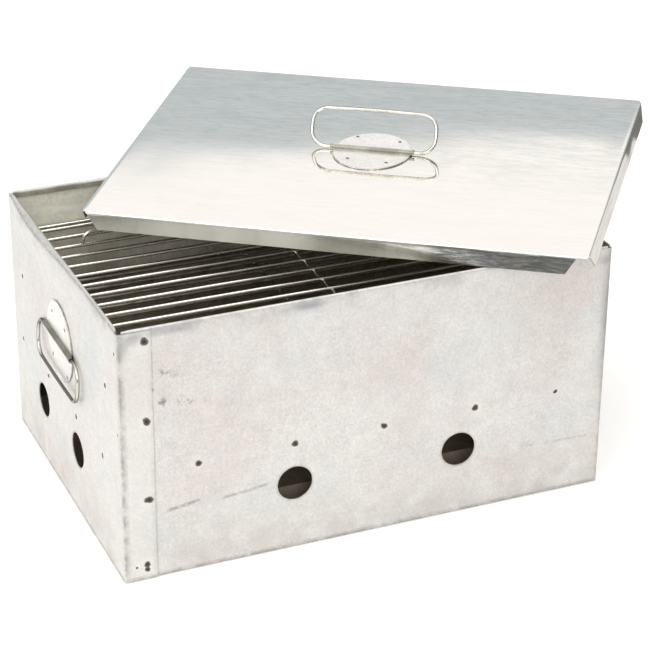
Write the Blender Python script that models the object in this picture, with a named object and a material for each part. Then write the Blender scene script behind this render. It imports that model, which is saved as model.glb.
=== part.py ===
"""Galvanised sheet-steel smoking box: folded shell, loose lid, racks and trays.

Units are metres, +Z is up.  The box stands on z = 0 with its centre on the
origin; the front wall faces -Y.  The lid lies askew on the rim.
"""
import math

import bmesh
import bpy
from mathutils import Matrix, Vector

# ---- driving dimensions -------------------------------------------------
BOX_X = 0.400            # outside length, left wall to right wall
BOX_Y = 0.276            # outside depth, front wall to back wall
BOX_H = 0.208            # height of the rim
SHEET = 0.0008           # sheet thickness
GAP = 0.0003             # air left between touching parts
CORNER_R = 0.0020        # outside radius of the folded corners
LAP = 0.0255             # width of the lap flange at the two seam corners
HEM_T = 0.0035           # overall thickness of the folded rim
HEM_DEPTH = 0.010        # how far the folded rim comes down inside
HEM_END = 0.0060         # plain wall left at each end of a folded rim
WALL_FOOT = 0.0005       # walls stop this far above the floor
PAN_FLANGE = 0.018       # upturned flange of the bottom pan
PAN_CLEAR = 0.0006       # air between that flange and the walls

VENT_D = 0.0280
VENT_Z = 0.0560
VENT_FRONT_X = (-0.063, 0.074)
VENT_SIDE_Y = (0.061, -0.028)

LEDGE_Z = 0.098          # top face of the ledge angles
LEDGE_DROP = 0.018
LEDGE_OUT = 0.024
LEDGE_CLEAR = 0.004      # gap between neighbouring ledges at the corners

BRACKET_W = 0.024
BRACKET_Y = 0.107
BRACKET_TOP = 0.1722
BRACKET_BOTTOM = 0.1219
LEG_UPPER = 0.008
LEG_LOWER = 0.016

ROD_R = 0.0015
ROD_PITCH = 0.0185
ROD_FIRST = -0.1155       # first rod of the even row
RACK_HALF_Y = 0.1325      # outermost rods, clear of the folded rim
RACK_UPPER_Z = 0.1740    # rod centres
RACK_LOWER_Z = 0.1245
RACK_UPPER_HALF_X = 0.1958
RACK_LOWER_HALF_X = 0.1895
RACK_END_IN = 0.0083     # end wires sit this far in from the rod tips
BOW_HALF = 0.052
BOW_RISE = 0.0105
BOW_X = 0.102
BOW_R = 0.0014

DRIP_X = 0.363
DRIP_Y = 0.240
DRIP_H = 0.014
EMBER_X = 0.300
EMBER_Y = 0.190
EMBER_H = 0.026
TRAY_T = 0.0008
TRAY_FLARE = 0.003

LID_X = 0.400
LID_Y = 0.276
LID_DEPTH = 0.0134       # how far the flanges drop
LID_FLARE = 0.0033       # how far the flanges spread
LID_MITRE = 0.0135       # length cut away at each flange end
LID_RELIEF = 0.0035      # start of each flange, measured from the corner
LID_CENTRE = (0.0802, 0.0492, 0.2314)
LID_YAW = math.radians(-38.1)
LID_TILT_X = math.radians(5.14)
LID_TILT_Y = math.radians(-1.46)

PLATE_R = 0.0325
PLATE_T = 0.0008
CHANNEL_LEN = 0.070
WIRE_R = 0.00145
CHANNEL_IN = 0.0018
AXIS_H = 0.0021          # height of the loop axis over the face it is fixed to
LOOP_HALF = 0.0517
LOOP_LEN = 0.0316
LOOP_CORNER = 0.011
LOOP_LEAN = math.radians(29.7)
LOOP_HANG = math.radians(4.0)
SIDE_HANDLE_Y = 0.0045
SIDE_HANDLE_Z = 0.1355
LID_HANDLE_Y = 0.0035

# ---- finishes: base colour, metallic, roughness ----------------------------
ZINC = ("galvanised_sheet", (0.66, 0.65, 0.64), 0.9, 0.42)
ZINC_LID = ("galvanised_lid", (0.72, 0.74, 0.75), 1.0, 0.25)
ZINC_PLATE = ("galvanised_plate", (0.75, 0.75, 0.74), 0.95, 0.35)
WIRE = ("tinned_wire", (0.80, 0.79, 0.77), 1.0, 0.20)
SOOTED = ("sooted_steel", (0.16, 0.14, 0.12), 0.8, 0.55)


def clear_scene():
    """Remove every object already in the scene."""
    for obj in list(bpy.data.objects):
        bpy.data.objects.remove(obj, do_unlink=True)


def material(node_name, finish):
    """One Principled material for one named piece."""
    _, colour, metallic, roughness = finish
    mat = bpy.data.materials.new(node_name + "_mat")
    mat.use_nodes = True
    shader = mat.node_tree.nodes["Principled BSDF"]
    shader.inputs["Base Color"].default_value = (*colour, 1.0)
    shader.inputs["Metallic"].default_value = metallic
    shader.inputs["Roughness"].default_value = roughness
    return mat


def new_object(name, verts, faces):
    """Object from vertex and face lists, with outward normals."""
    mesh = bpy.data.meshes.new(name)
    mesh.from_pydata([tuple(v) for v in verts], [], faces)
    bm = bmesh.new()
    bm.from_mesh(mesh)
    bmesh.ops.recalc_face_normals(bm, faces=bm.faces)
    bm.to_mesh(mesh)
    bm.free()
    obj = bpy.data.objects.new(name, mesh)
    bpy.context.collection.objects.link(obj)
    return obj


def box(name, low, high):
    """Axis-aligned block between two corners."""
    (x0, y0, z0), (x1, y1, z1) = low, high
    verts = [(x, y, z) for z in (z0, z1) for y in (y0, y1) for x in (x0, x1)]
    faces = [(0, 2, 3, 1), (4, 5, 7, 6), (0, 1, 5, 4), (2, 6, 7, 3), (0, 4, 6, 2), (1, 3, 7, 5)]
    return new_object(name, verts, faces)


def prism(name, outline, origin, axis_u, axis_v, axis_w, length):
    """Closed outline in (u, v) pushed along w."""
    start = Vector(origin)
    u, v, w = Vector(axis_u), Vector(axis_v), Vector(axis_w)
    count = len(outline)
    verts = [start + u * a + v * b for a, b in outline]
    verts += [p + w * length for p in verts[:count]]
    faces = [tuple(range(count)), tuple(range(2 * count - 1, count - 1, -1))]
    for i in range(count):
        j = (i + 1) % count
        faces.append((i, j, count + j, count + i))
    return new_object(name, verts, faces)


def cylinder(name, start, end, radius, sides):
    """Round bar between two points."""
    start, end = Vector(start), Vector(end)
    w = (end - start).normalized()
    u = w.orthogonal().normalized()
    v = w.cross(u)
    ring = [
        (radius * math.cos(2 * math.pi * (i + 0.5) / sides), radius * math.sin(2 * math.pi * (i + 0.5) / sides))
        for i in range(sides)
    ]
    return prism(name, ring, start, u, v, w, (end - start).length)


def tube(name, path, radius, sides, closed):
    """Round wire following a planar or gently bent path."""
    points = [Vector(p) for p in path]
    count = len(points)
    normal = path_normal(points)
    verts, faces = [], []
    for i, point in enumerate(points):
        before = points[i - 1] if closed or i else point
        after = points[(i + 1) % count] if closed or i < count - 1 else point
        tangent = (after - before).normalized()
        side = tangent.cross(normal).normalized()
        for k in range(sides):
            angle = 2 * math.pi * (k + 0.5) / sides
            verts.append(point + side * (radius * math.cos(angle)) + normal * (radius * math.sin(angle)))
    spans = count if closed else count - 1
    for i in range(spans):
        j = (i + 1) % count
        for k in range(sides):
            m = (k + 1) % sides
            faces.append((i * sides + k, i * sides + m, j * sides + m, j * sides + k))
    if not closed:
        faces.append(tuple(range(sides)))
        faces.append(tuple(range((count - 1) * sides, count * sides)))
    return new_object(name, verts, faces)


def path_normal(points):
    """Unit normal of the plane a bent path lies in."""
    first = points[1] - points[0]
    for point in points[2:]:
        normal = first.cross(point - points[0])
        if normal.length > 1e-9:
            return normal.normalized()
    return first.orthogonal().normalized()


def combine(target, tools, operation):
    """Apply an exact Boolean with each tool in turn and drop the tools."""
    for tool in tools:
        mod = target.modifiers.new("cut", "BOOLEAN")
        mod.operation = operation
        mod.solver = "EXACT"
        mod.object = tool
        bpy.context.view_layer.update()
        graph = bpy.context.evaluated_depsgraph_get()
        baked = bpy.data.meshes.new_from_object(target.evaluated_get(graph))
        target.modifiers.clear()
        old = target.data
        target.data = baked
        bpy.data.meshes.remove(old)
        bpy.data.objects.remove(tool, do_unlink=True)
    return target


def finish(obj, name, style, location=None):
    """Name the piece, give it its own material and set its origin."""
    obj.name = name
    obj.data.name = name
    obj.data.materials.clear()
    obj.data.materials.append(material(name, style))
    if location is not None:
        shift = Vector(location)
        obj.data.transform(Matrix.Translation(-shift))
        obj.location = shift
    return obj


def arc(cx, cy, radius, start, stop, steps):
    """Points on a circular arc, angles in degrees."""
    points = []
    for i in range(steps + 1):
        angle = math.radians(start + (stop - start) * i / steps)
        points.append((cx + radius * math.cos(angle), cy + radius * math.sin(angle)))
    return points


# ---- shell --------------------------------------------------------------
def hem_profile():
    """Hooked section of the rim: n is measured inwards from the outer face."""
    outer = HEM_T / 2
    inner = outer - SHEET + 0.0001
    top = BOX_H - outer
    leg = BOX_H - outer - 0.004
    section = [(0.00005, leg), (0.00005, top)]
    section += arc(outer, top, outer - 0.00005, 180, 0, 8)[1:]
    section += [(HEM_T - 0.00005, BOX_H - HEM_DEPTH), (HEM_T - SHEET, BOX_H - HEM_DEPTH)]
    section += arc(outer, top, inner, 0, 180, 8)
    section += [(outer - inner, leg)]
    return section


def wall_outline(flip):
    """Plan of one folded sheet: long wall, short wall and lap flange."""
    half_x, half_y = BOX_X / 2, BOX_Y / 2
    free_end = -half_x + SHEET + 2 * GAP
    outer_y = -half_y
    lap_y = half_y + GAP + SHEET
    r_in = CORNER_R - SHEET
    points = [(free_end, outer_y)]
    points += arc(half_x - CORNER_R, outer_y + CORNER_R, CORNER_R, -90, 0, 4)
    points += arc(half_x - CORNER_R, lap_y - CORNER_R, CORNER_R, 0, 90, 4)
    points += [(half_x - LAP, lap_y), (half_x - LAP, lap_y - SHEET)]
    points += arc(half_x - CORNER_R, lap_y - CORNER_R, r_in, 90, 0, 4)
    points += arc(half_x - CORNER_R, outer_y + CORNER_R, r_in, 0, -90, 4)
    points += [(free_end, outer_y + SHEET)]
    return [(flip * x, flip * y) for x, y in points]


def build_shell(name, flip):
    """One folded sheet with its hemmed rim."""
    top = BOX_H - HEM_T / 2
    height = top - WALL_FOOT
    body = prism(name, wall_outline(flip), (0, 0, WALL_FOOT), (1, 0, 0), (0, 1, 0), (0, 0, 1), height)
    section = hem_profile()
    half_x, half_y = BOX_X / 2, BOX_Y / 2
    long_hem = prism(
        "long_hem",
        section,
        (-flip * (half_x - HEM_END), -flip * half_y, 0),
        (0, flip, 0),
        (0, 0, 1),
        (flip, 0, 0),
        2 * (half_x - HEM_END),
    )
    short_hem = prism(
        "short_hem",
        section,
        (flip * half_x, -flip * (half_y - HEM_END), 0),
        (-flip, 0, 0),
        (0, 0, 1),
        (0, flip, 0),
        2 * (half_y - HEM_END),
    )
    body = combine(body, [long_hem, short_hem], "UNION")
    cutters = vent_cutters(flip)
    return combine(body, cutters, "DIFFERENCE")


def vent_cutters(flip):
    """Round cutters for the air holes in one sheet."""
    half_x, half_y = BOX_X / 2, BOX_Y / 2
    cutters = []
    for i, x in enumerate(VENT_FRONT_X):
        start = (flip * -x if flip < 0 else x, -flip * (half_y + 0.006), VENT_Z)
        end = (start[0], -flip * (half_y - 0.006), VENT_Z)
        cutters.append(cylinder("vent_long_%d" % i, start, end, VENT_D / 2, 40))
    for i, y in enumerate(VENT_SIDE_Y):
        start = (flip * (half_x - 0.006), y, VENT_Z)
        end = (flip * (half_x + 0.006), y, VENT_Z)
        cutters.append(cylinder("vent_short_%d" % i, start, end, VENT_D / 2, 40))
    return cutters


def tray(name, size_x, size_y, height, base_z, thickness, flare):
    """Folded open pan: flat floor with four upturned, slightly flared sides."""
    half_x, half_y = size_x / 2, size_y / 2
    t = thickness
    top_x, top_y = half_x, half_y
    low_x, low_y = half_x - flare, half_y - flare
    levels = [
        (low_x, low_y, base_z),
        (top_x, top_y, base_z + height),
        (top_x - t, top_y - t, base_z + height),
        (low_x - t, low_y - t, base_z + t),
    ]
    verts = []
    for hx, hy, z in levels:
        verts += [(-hx, -hy, z), (hx, -hy, z), (hx, hy, z), (-hx, hy, z)]
    faces = [(3, 2, 1, 0), (12, 13, 14, 15)]
    for ring in range(3):
        for k in range(4):
            m = (k + 1) % 4
            faces.append((ring * 4 + k, ring * 4 + m, ring * 4 + 4 + m, ring * 4 + 4 + k))
    return new_object(name, verts, faces)


def build_bottom_pan():
    """Welded floor pan standing inside the shell."""
    inset = SHEET + PAN_CLEAR
    size_x, size_y = BOX_X - 2 * inset, BOX_Y - 2 * inset
    return tray("bottom_pan", size_x, size_y, PAN_FLANGE, 0.0, SHEET, 0.0)


# ---- ledges and brackets ------------------------------------------------
def build_ledges():
    """Four angle strips that carry the drip tray."""
    inset = SHEET + GAP
    section = [
        (0, LEDGE_Z),
        (LEDGE_OUT, LEDGE_Z),
        (LEDGE_OUT, LEDGE_Z - SHEET),
        (SHEET, LEDGE_Z - SHEET),
        (SHEET, LEDGE_Z - LEDGE_DROP),
        (0, LEDGE_Z - LEDGE_DROP),
    ]
    long_half = BOX_X / 2 - inset - LEDGE_OUT - LEDGE_CLEAR
    short_half = BOX_Y / 2 - inset - 0.001
    wall_x, wall_y = BOX_X / 2 - inset, BOX_Y / 2 - inset
    up = (0, 0, 1)
    front = prism("ledge_front", section, (-long_half, -wall_y, 0), (0, 1, 0), up, (1, 0, 0), 2 * long_half)
    back = prism("ledge_back", section, (-long_half, wall_y, 0), (0, -1, 0), up, (1, 0, 0), 2 * long_half)
    left = prism("ledge_left", section, (-wall_x, -short_half, 0), (1, 0, 0), up, (0, 1, 0), 2 * short_half)
    right = prism("ledge_right", section, (wall_x, -short_half, 0), (-1, 0, 0), up, (0, 1, 0), 2 * short_half)
    return [front, back, left, right]


def build_bracket(name, side, y):
    """Bent strip with a short upper leg and a longer lower leg."""
    section = [
        (0, BRACKET_BOTTOM),
        (LEG_LOWER, BRACKET_BOTTOM),
        (LEG_LOWER, BRACKET_BOTTOM + SHEET),
        (SHEET, BRACKET_BOTTOM + SHEET),
        (SHEET, BRACKET_TOP - SHEET),
        (LEG_UPPER, BRACKET_TOP - SHEET),
        (LEG_UPPER, BRACKET_TOP),
        (0, BRACKET_TOP),
    ]
    wall_x = BOX_X / 2 - SHEET - GAP
    return prism(
        name, section, (side * wall_x, y - BRACKET_W / 2, 0), (-side, 0, 0), (0, 0, 1), (0, 1, 0), BRACKET_W
    )


# ---- racks --------------------------------------------------------------
def rod_positions():
    """Rod positions across a rack, front to back."""
    rods = [ROD_FIRST + ROD_PITCH * i for i in range(14)]
    return [-RACK_HALF_Y] + rods + [RACK_HALF_Y]


def build_rack(name, half_x, z):
    """Rods along X welded on three cross wires."""
    cross_z = z - 2 * ROD_R + 0.0003
    ends = half_x - RACK_END_IN
    reach = RACK_HALF_Y + 0.0004
    body = cylinder(name, (-ends, -reach, cross_z), (-ends, reach, cross_z), ROD_R, 8)
    tools = [cylinder("cross_%d" % i, (x, -reach, cross_z), (x, reach, cross_z), ROD_R, 8)
             for i, x in enumerate((0.0, ends))]
    tools = [cylinder("rod_%d" % i, (-half_x, y, z), (half_x, y, z), ROD_R, 8)
             for i, y in enumerate(rod_positions())] + tools
    return combine(body, tools, "UNION")


def build_bow(name, x, y, z):
    """Low wire bow standing on one rod of the upper rack."""
    corner = 0.006
    foot, top = z + ROD_R + GAP, z + BOW_RISE
    left, right = x - BOW_HALF, x + BOW_HALF
    path = [(left, foot)]
    path += arc(left + corner, top - corner, corner, 180, 90, 5)
    path += arc(right - corner, top - corner, corner, 90, 0, 5)
    path += [(right, foot)]
    return tube(name, [(a, y, b) for a, b in path], BOW_R, 8, False)


# ---- lid ----------------------------------------------------------------
def lid_matrix():
    """Placement of the lid on the rim."""
    turn = Matrix.Rotation(LID_YAW, 4, "Z") @ Matrix.Rotation(LID_TILT_Y, 4, "Y")
    turn = turn @ Matrix.Rotation(LID_TILT_X, 4, "X")
    return Matrix.Translation(LID_CENTRE) @ turn


def flange_outline(half_run):
    """Tapered flap outline: run along the edge, drop away from it."""
    start = half_run - LID_RELIEF
    tip = half_run - LID_MITRE
    return [(-start, 0.0), (start, 0.0), (tip, 1.0), (-tip, 1.0)]


def lid_flange(name, half_run, edge, along, outward):
    """One bent flap, as a slab that leans outwards."""
    along, outward = Vector(along), Vector(outward)
    down = Vector((0, 0, -1))
    fall = outward * LID_FLARE + down * LID_DEPTH
    skin = fall.normalized().cross(along).normalized()
    if skin.dot(outward) > 0:
        skin = -skin
    base = outward * edge
    outer = [base + along * a + fall * b for a, b in flange_outline(half_run)]
    inner = [p + skin * SHEET for p in outer]
    lift = Vector((0, 0, -0.0002))
    outer[0], outer[1] = outer[0] + lift, outer[1] + lift
    inner[0], inner[1] = inner[0] + lift, inner[1] + lift
    faces = [(0, 1, 2, 3), (7, 6, 5, 4), (0, 4, 5, 1), (1, 5, 6, 2), (2, 6, 7, 3), (3, 7, 4, 0)]
    return new_object(name, outer + inner, faces)


def build_lid():
    """Flat plate with four tapered flaps, folded from one sheet."""
    half_x, half_y = LID_X / 2, LID_Y / 2
    body = box("lid_pan", (-half_x, -half_y, -SHEET), (half_x, half_y, 0.0))
    trim = 0.0001
    flaps = [
        lid_flange("flap_front", half_x, half_y - trim, (1, 0, 0), (0, -1, 0)),
        lid_flange("flap_back", half_x, half_y - trim, (1, 0, 0), (0, 1, 0)),
        lid_flange("flap_left", half_y, half_x - trim, (0, 1, 0), (-1, 0, 0)),
        lid_flange("flap_right", half_y, half_x - trim, (0, 1, 0), (1, 0, 0)),
    ]
    return combine(body, flaps, "UNION")


# ---- handles ------------------------------------------------------------
def plate_outline():
    """Plan of a handle plate: a disc with the channel running a little past it."""
    half = CHANNEL_LEN / 2
    side = CHANNEL_IN + PLATE_T + 0.0001
    edge = math.degrees(math.asin(side / PLATE_R))
    points = [(half, -side), (half, side)]
    points += arc(0, 0, PLATE_R, edge, 180 - edge, 26)
    points += [(-half, side), (-half, -side)]
    points += arc(0, 0, PLATE_R, 180 + edge, 360 - edge, 26)
    return points


def build_handle_plate(name):
    """Disc with a half-round channel across it; x along the channel, z outwards."""
    outer = CHANNEL_IN + PLATE_T
    low, high = GAP, GAP + PLATE_T
    rise = AXIS_H
    section = [(-PLATE_R - 0.002, low), (-CHANNEL_IN, low), (-CHANNEL_IN, rise)]
    section += arc(0, rise, CHANNEL_IN, 180, 0, 8)[1:]
    section += [(CHANNEL_IN, low), (PLATE_R + 0.002, low), (PLATE_R + 0.002, high), (outer, high)]
    section += arc(0, rise, outer, 0, 180, 8)
    section += [(-outer, high), (-PLATE_R - 0.002, high)]
    strip = prism(name, section, (-0.04, 0, 0), (0, 1, 0), (0, 0, 1), (1, 0, 0), 0.08)
    plan = prism("plan", plate_outline(), (0, 0, -0.01), (1, 0, 0), (0, 1, 0), (0, 0, 1), 0.03)
    return combine(strip, [plan], "INTERSECT")


def build_loop(name):
    """Closed wire loop; x along the hinge bar, y away from it."""
    r = LOOP_CORNER
    path = arc(LOOP_HALF - r, r, r, -90, 0, 6)
    path += arc(LOOP_HALF - r, LOOP_LEN - r, r, 0, 90, 6)
    path += arc(-LOOP_HALF + r, LOOP_LEN - r, r, 90, 180, 6)
    path += arc(-LOOP_HALF + r, r, r, 180, 270, 6)
    return tube(name, [(a, b, 0.0) for a, b in path], WIRE_R, 10, True)


def place(obj, matrix, origin):
    """Bake a placement into the mesh and put the origin at a world point."""
    obj.data.transform(matrix)
    shift = Vector(origin)
    obj.data.transform(Matrix.Translation(-shift))
    obj.location = shift
    return obj


def frame_matrix(origin, x_axis, y_axis, z_axis):
    """Placement matrix from three unit directions."""
    m = Matrix.Identity(4)
    for col, axis in enumerate((x_axis, y_axis, z_axis)):
        for row in range(3):
            m[row][col] = axis[row]
    return Matrix.Translation(origin) @ m


def side_handle(side, plate_name, loop_name):
    """Plate and hanging loop on one end wall."""
    centre = Vector((side * BOX_X / 2, SIDE_HANDLE_Y, SIDE_HANDLE_Z))
    out = Vector((side, 0, 0))
    along = Vector((0, -side, 0))
    up = out.cross(along)
    plate = build_handle_plate(plate_name)
    place(plate, frame_matrix(centre, along, up, out), centre)
    axis = centre + out * AXIS_H
    hang = Vector((0, 0, -1)) * math.cos(LOOP_HANG) + out * math.sin(LOOP_HANG)
    loop = build_loop(loop_name)
    place(loop, frame_matrix(axis, along, hang, along.cross(hang)), axis)
    return plate, loop


def lid_handle():
    """Plate and raised loop on the lid."""
    base = lid_matrix()
    turn = base.to_3x3()
    along, back, out = turn @ Vector((1, 0, 0)), turn @ Vector((0, 1, 0)), turn @ Vector((0, 0, 1))
    centre = base @ Vector((0, LID_HANDLE_Y, 0))
    plate = build_handle_plate("lid_handle_plate")
    place(plate, frame_matrix(centre, along, back, out), centre)
    axis = centre + out * AXIS_H
    rise = out * math.cos(LOOP_LEAN) + back * math.sin(LOOP_LEAN)
    loop = build_loop("lid_handle_loop")
    place(loop, frame_matrix(axis, along, rise, along.cross(rise)), axis)
    return plate, loop


def main():
    """Build every piece in place."""
    clear_scene()
    finish(build_shell("shell_front_right", 1), "shell_front_right", ZINC)
    finish(build_shell("shell_back_left", -1), "shell_back_left", ZINC)
    finish(build_bottom_pan(), "bottom_pan", SOOTED)
    for ledge in build_ledges():
        finish(ledge, ledge.name, SOOTED)
    for side, side_name in ((-1, "left"), (1, "right")):
        for sign, end_name in ((-1, "front"), (1, "back")):
            name = "bracket_%s_%s" % (side_name, end_name)
            finish(build_bracket(name, side, sign * BRACKET_Y), name, ZINC)
    upper = build_rack("rack_upper", RACK_UPPER_HALF_X, RACK_UPPER_Z)
    finish(upper, "rack_upper", WIRE, (0, 0, RACK_UPPER_Z))
    rods = rod_positions()
    for name, x, y in (("rack_bow_left", -BOW_X, rods[12]), ("rack_bow_right", BOW_X, rods[2])):
        finish(build_bow(name, x, y, RACK_UPPER_Z), name, WIRE, (0, 0, RACK_UPPER_Z))
    lower = build_rack("rack_lower", RACK_LOWER_HALF_X, RACK_LOWER_Z)
    finish(lower, "rack_lower", WIRE, (0, 0, RACK_LOWER_Z))
    drip = tray("drip_tray", DRIP_X, DRIP_Y, DRIP_H, LEDGE_Z + GAP, TRAY_T, TRAY_FLARE)
    finish(drip, "drip_tray", SOOTED, (0, 0, LEDGE_Z + GAP))
    ember = tray("ember_tray", EMBER_X, EMBER_Y, EMBER_H, SHEET + GAP, TRAY_T, TRAY_FLARE)
    finish(ember, "ember_tray", SOOTED, (0, 0, SHEET + GAP))
    lid = build_lid()
    place(lid, lid_matrix(), LID_CENTRE)
    finish(lid, "lid_pan", ZINC_LID)
    plate, loop = lid_handle()
    finish(plate, "lid_handle_plate", ZINC_PLATE)
    finish(loop, "lid_handle_loop", WIRE)
    for side, side_name in ((-1, "left"), (1, "right")):
        plate, loop = side_handle(side, "%s_handle_plate" % side_name, "%s_handle_loop" % side_name)
        finish(plate, plate.name, ZINC_PLATE)
        finish(loop, loop.name, WIRE)


main()
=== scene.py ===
"""Visual model of a galvanised hot smoker box with a loose lid, wire racks and folding wire handles.

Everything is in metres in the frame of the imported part: +Z is up, the front wall faces -Y and the box
stands on z = 0.  Every sheet is a surface worked out on a grid and given its thickness afterwards, and
every wire is a ring of points carried along a path.
"""

import logging
import math
from dataclasses import dataclass, field
from enum import Enum
from functools import lru_cache
from typing import Optional, Sequence, Union

import bmesh
import bpy
import numpy as np
from mathutils import Euler, Matrix, Vector

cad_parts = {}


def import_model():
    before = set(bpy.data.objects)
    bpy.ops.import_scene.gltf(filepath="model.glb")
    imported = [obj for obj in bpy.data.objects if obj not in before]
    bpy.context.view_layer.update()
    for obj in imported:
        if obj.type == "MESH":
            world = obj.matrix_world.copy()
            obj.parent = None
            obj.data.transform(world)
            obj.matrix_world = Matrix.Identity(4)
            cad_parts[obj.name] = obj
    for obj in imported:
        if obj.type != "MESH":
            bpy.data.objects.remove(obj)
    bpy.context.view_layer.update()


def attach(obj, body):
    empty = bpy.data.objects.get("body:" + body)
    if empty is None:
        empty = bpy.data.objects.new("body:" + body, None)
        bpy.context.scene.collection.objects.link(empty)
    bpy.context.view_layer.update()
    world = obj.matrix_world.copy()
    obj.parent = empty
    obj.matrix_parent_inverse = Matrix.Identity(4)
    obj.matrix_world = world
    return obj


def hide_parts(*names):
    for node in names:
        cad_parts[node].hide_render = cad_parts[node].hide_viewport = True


LOG = logging.getLogger("smoker_box")
Array = np.ndarray
Colour = tuple[float, float, float]
Socket = bpy.types.NodeSocket
Node = bpy.types.Node
Material = bpy.types.Material
Object = bpy.types.Object
Tree = bpy.types.NodeTree

HALF_X, HALF_Y = 0.200, 0.138      # half the box's outside length and depth
RIM_Z = 0.208                      # height of the rim
SHEET, GAP = 0.0008, 0.0003        # sheet thickness, and the air left between touching parts
RACK_Z = 0.174                     # rod centres of the upper rack
BRACKET_Y = 0.107                  # bracket centres, front and back
HANDLE_Y, HANDLE_Z = 0.0045, 0.1355  # centre of a side handle
LAP_EDGE = 0.1745                  # distance of a lap flange's free edge from the middle
Value = Union[float, int, Sequence[float], Socket]


# ---- Small numeric helpers ----
def srgb(red: int, green: int, blue: int) -> Colour:
    """Linear colour of an 8-bit display colour.

    Args:
        red, green, blue: display values from 0 to 255.
    Returns:
        The three linear values, each ((c + 0.055) / 1.055) ** 2.4.
    """
    shares = (max(c, 11) / 255.0 for c in (red, green, blue))
    return tuple(((c + 0.055) / 1.055) ** 2.4 for c in shares)


def smooth(values: Array, low: float, high: float) -> Array:
    """Smooth step of values: 0 at low, 1 at high, 3t^2 - 2t^3 between."""
    share = np.clip((values - low) / (high - low), 0.0, 1.0)
    return share * share * (3.0 - 2.0 * share)


def steps(*marks: float, pitch: float) -> Array:
    """Rising stations that include every mark, with spans of about pitch between them.

    Args:
        marks: rising places that have to be stations.
        pitch: about how far apart the stations are.

    Returns:
        The stations.
    """
    runs = []
    for low, high in zip(marks[:-1], marks[1:]):
        count = max(1, int(round((high - low) / pitch)))
        runs.append(np.linspace(low, high, count, endpoint=False))
    return np.concatenate(runs + [np.array([marks[-1]])])


def row(*values: Union[float, Array]) -> Array:
    """Points from their coordinates, any of which may be one number for all."""
    return np.stack(np.broadcast_arrays(*values), -1)


def arc_angles(start: float, stop: float, count: int) -> Array:
    """Angles in radians from start to stop degrees, in count equal turns."""
    return np.radians(np.linspace(start, stop, count + 1))


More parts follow.
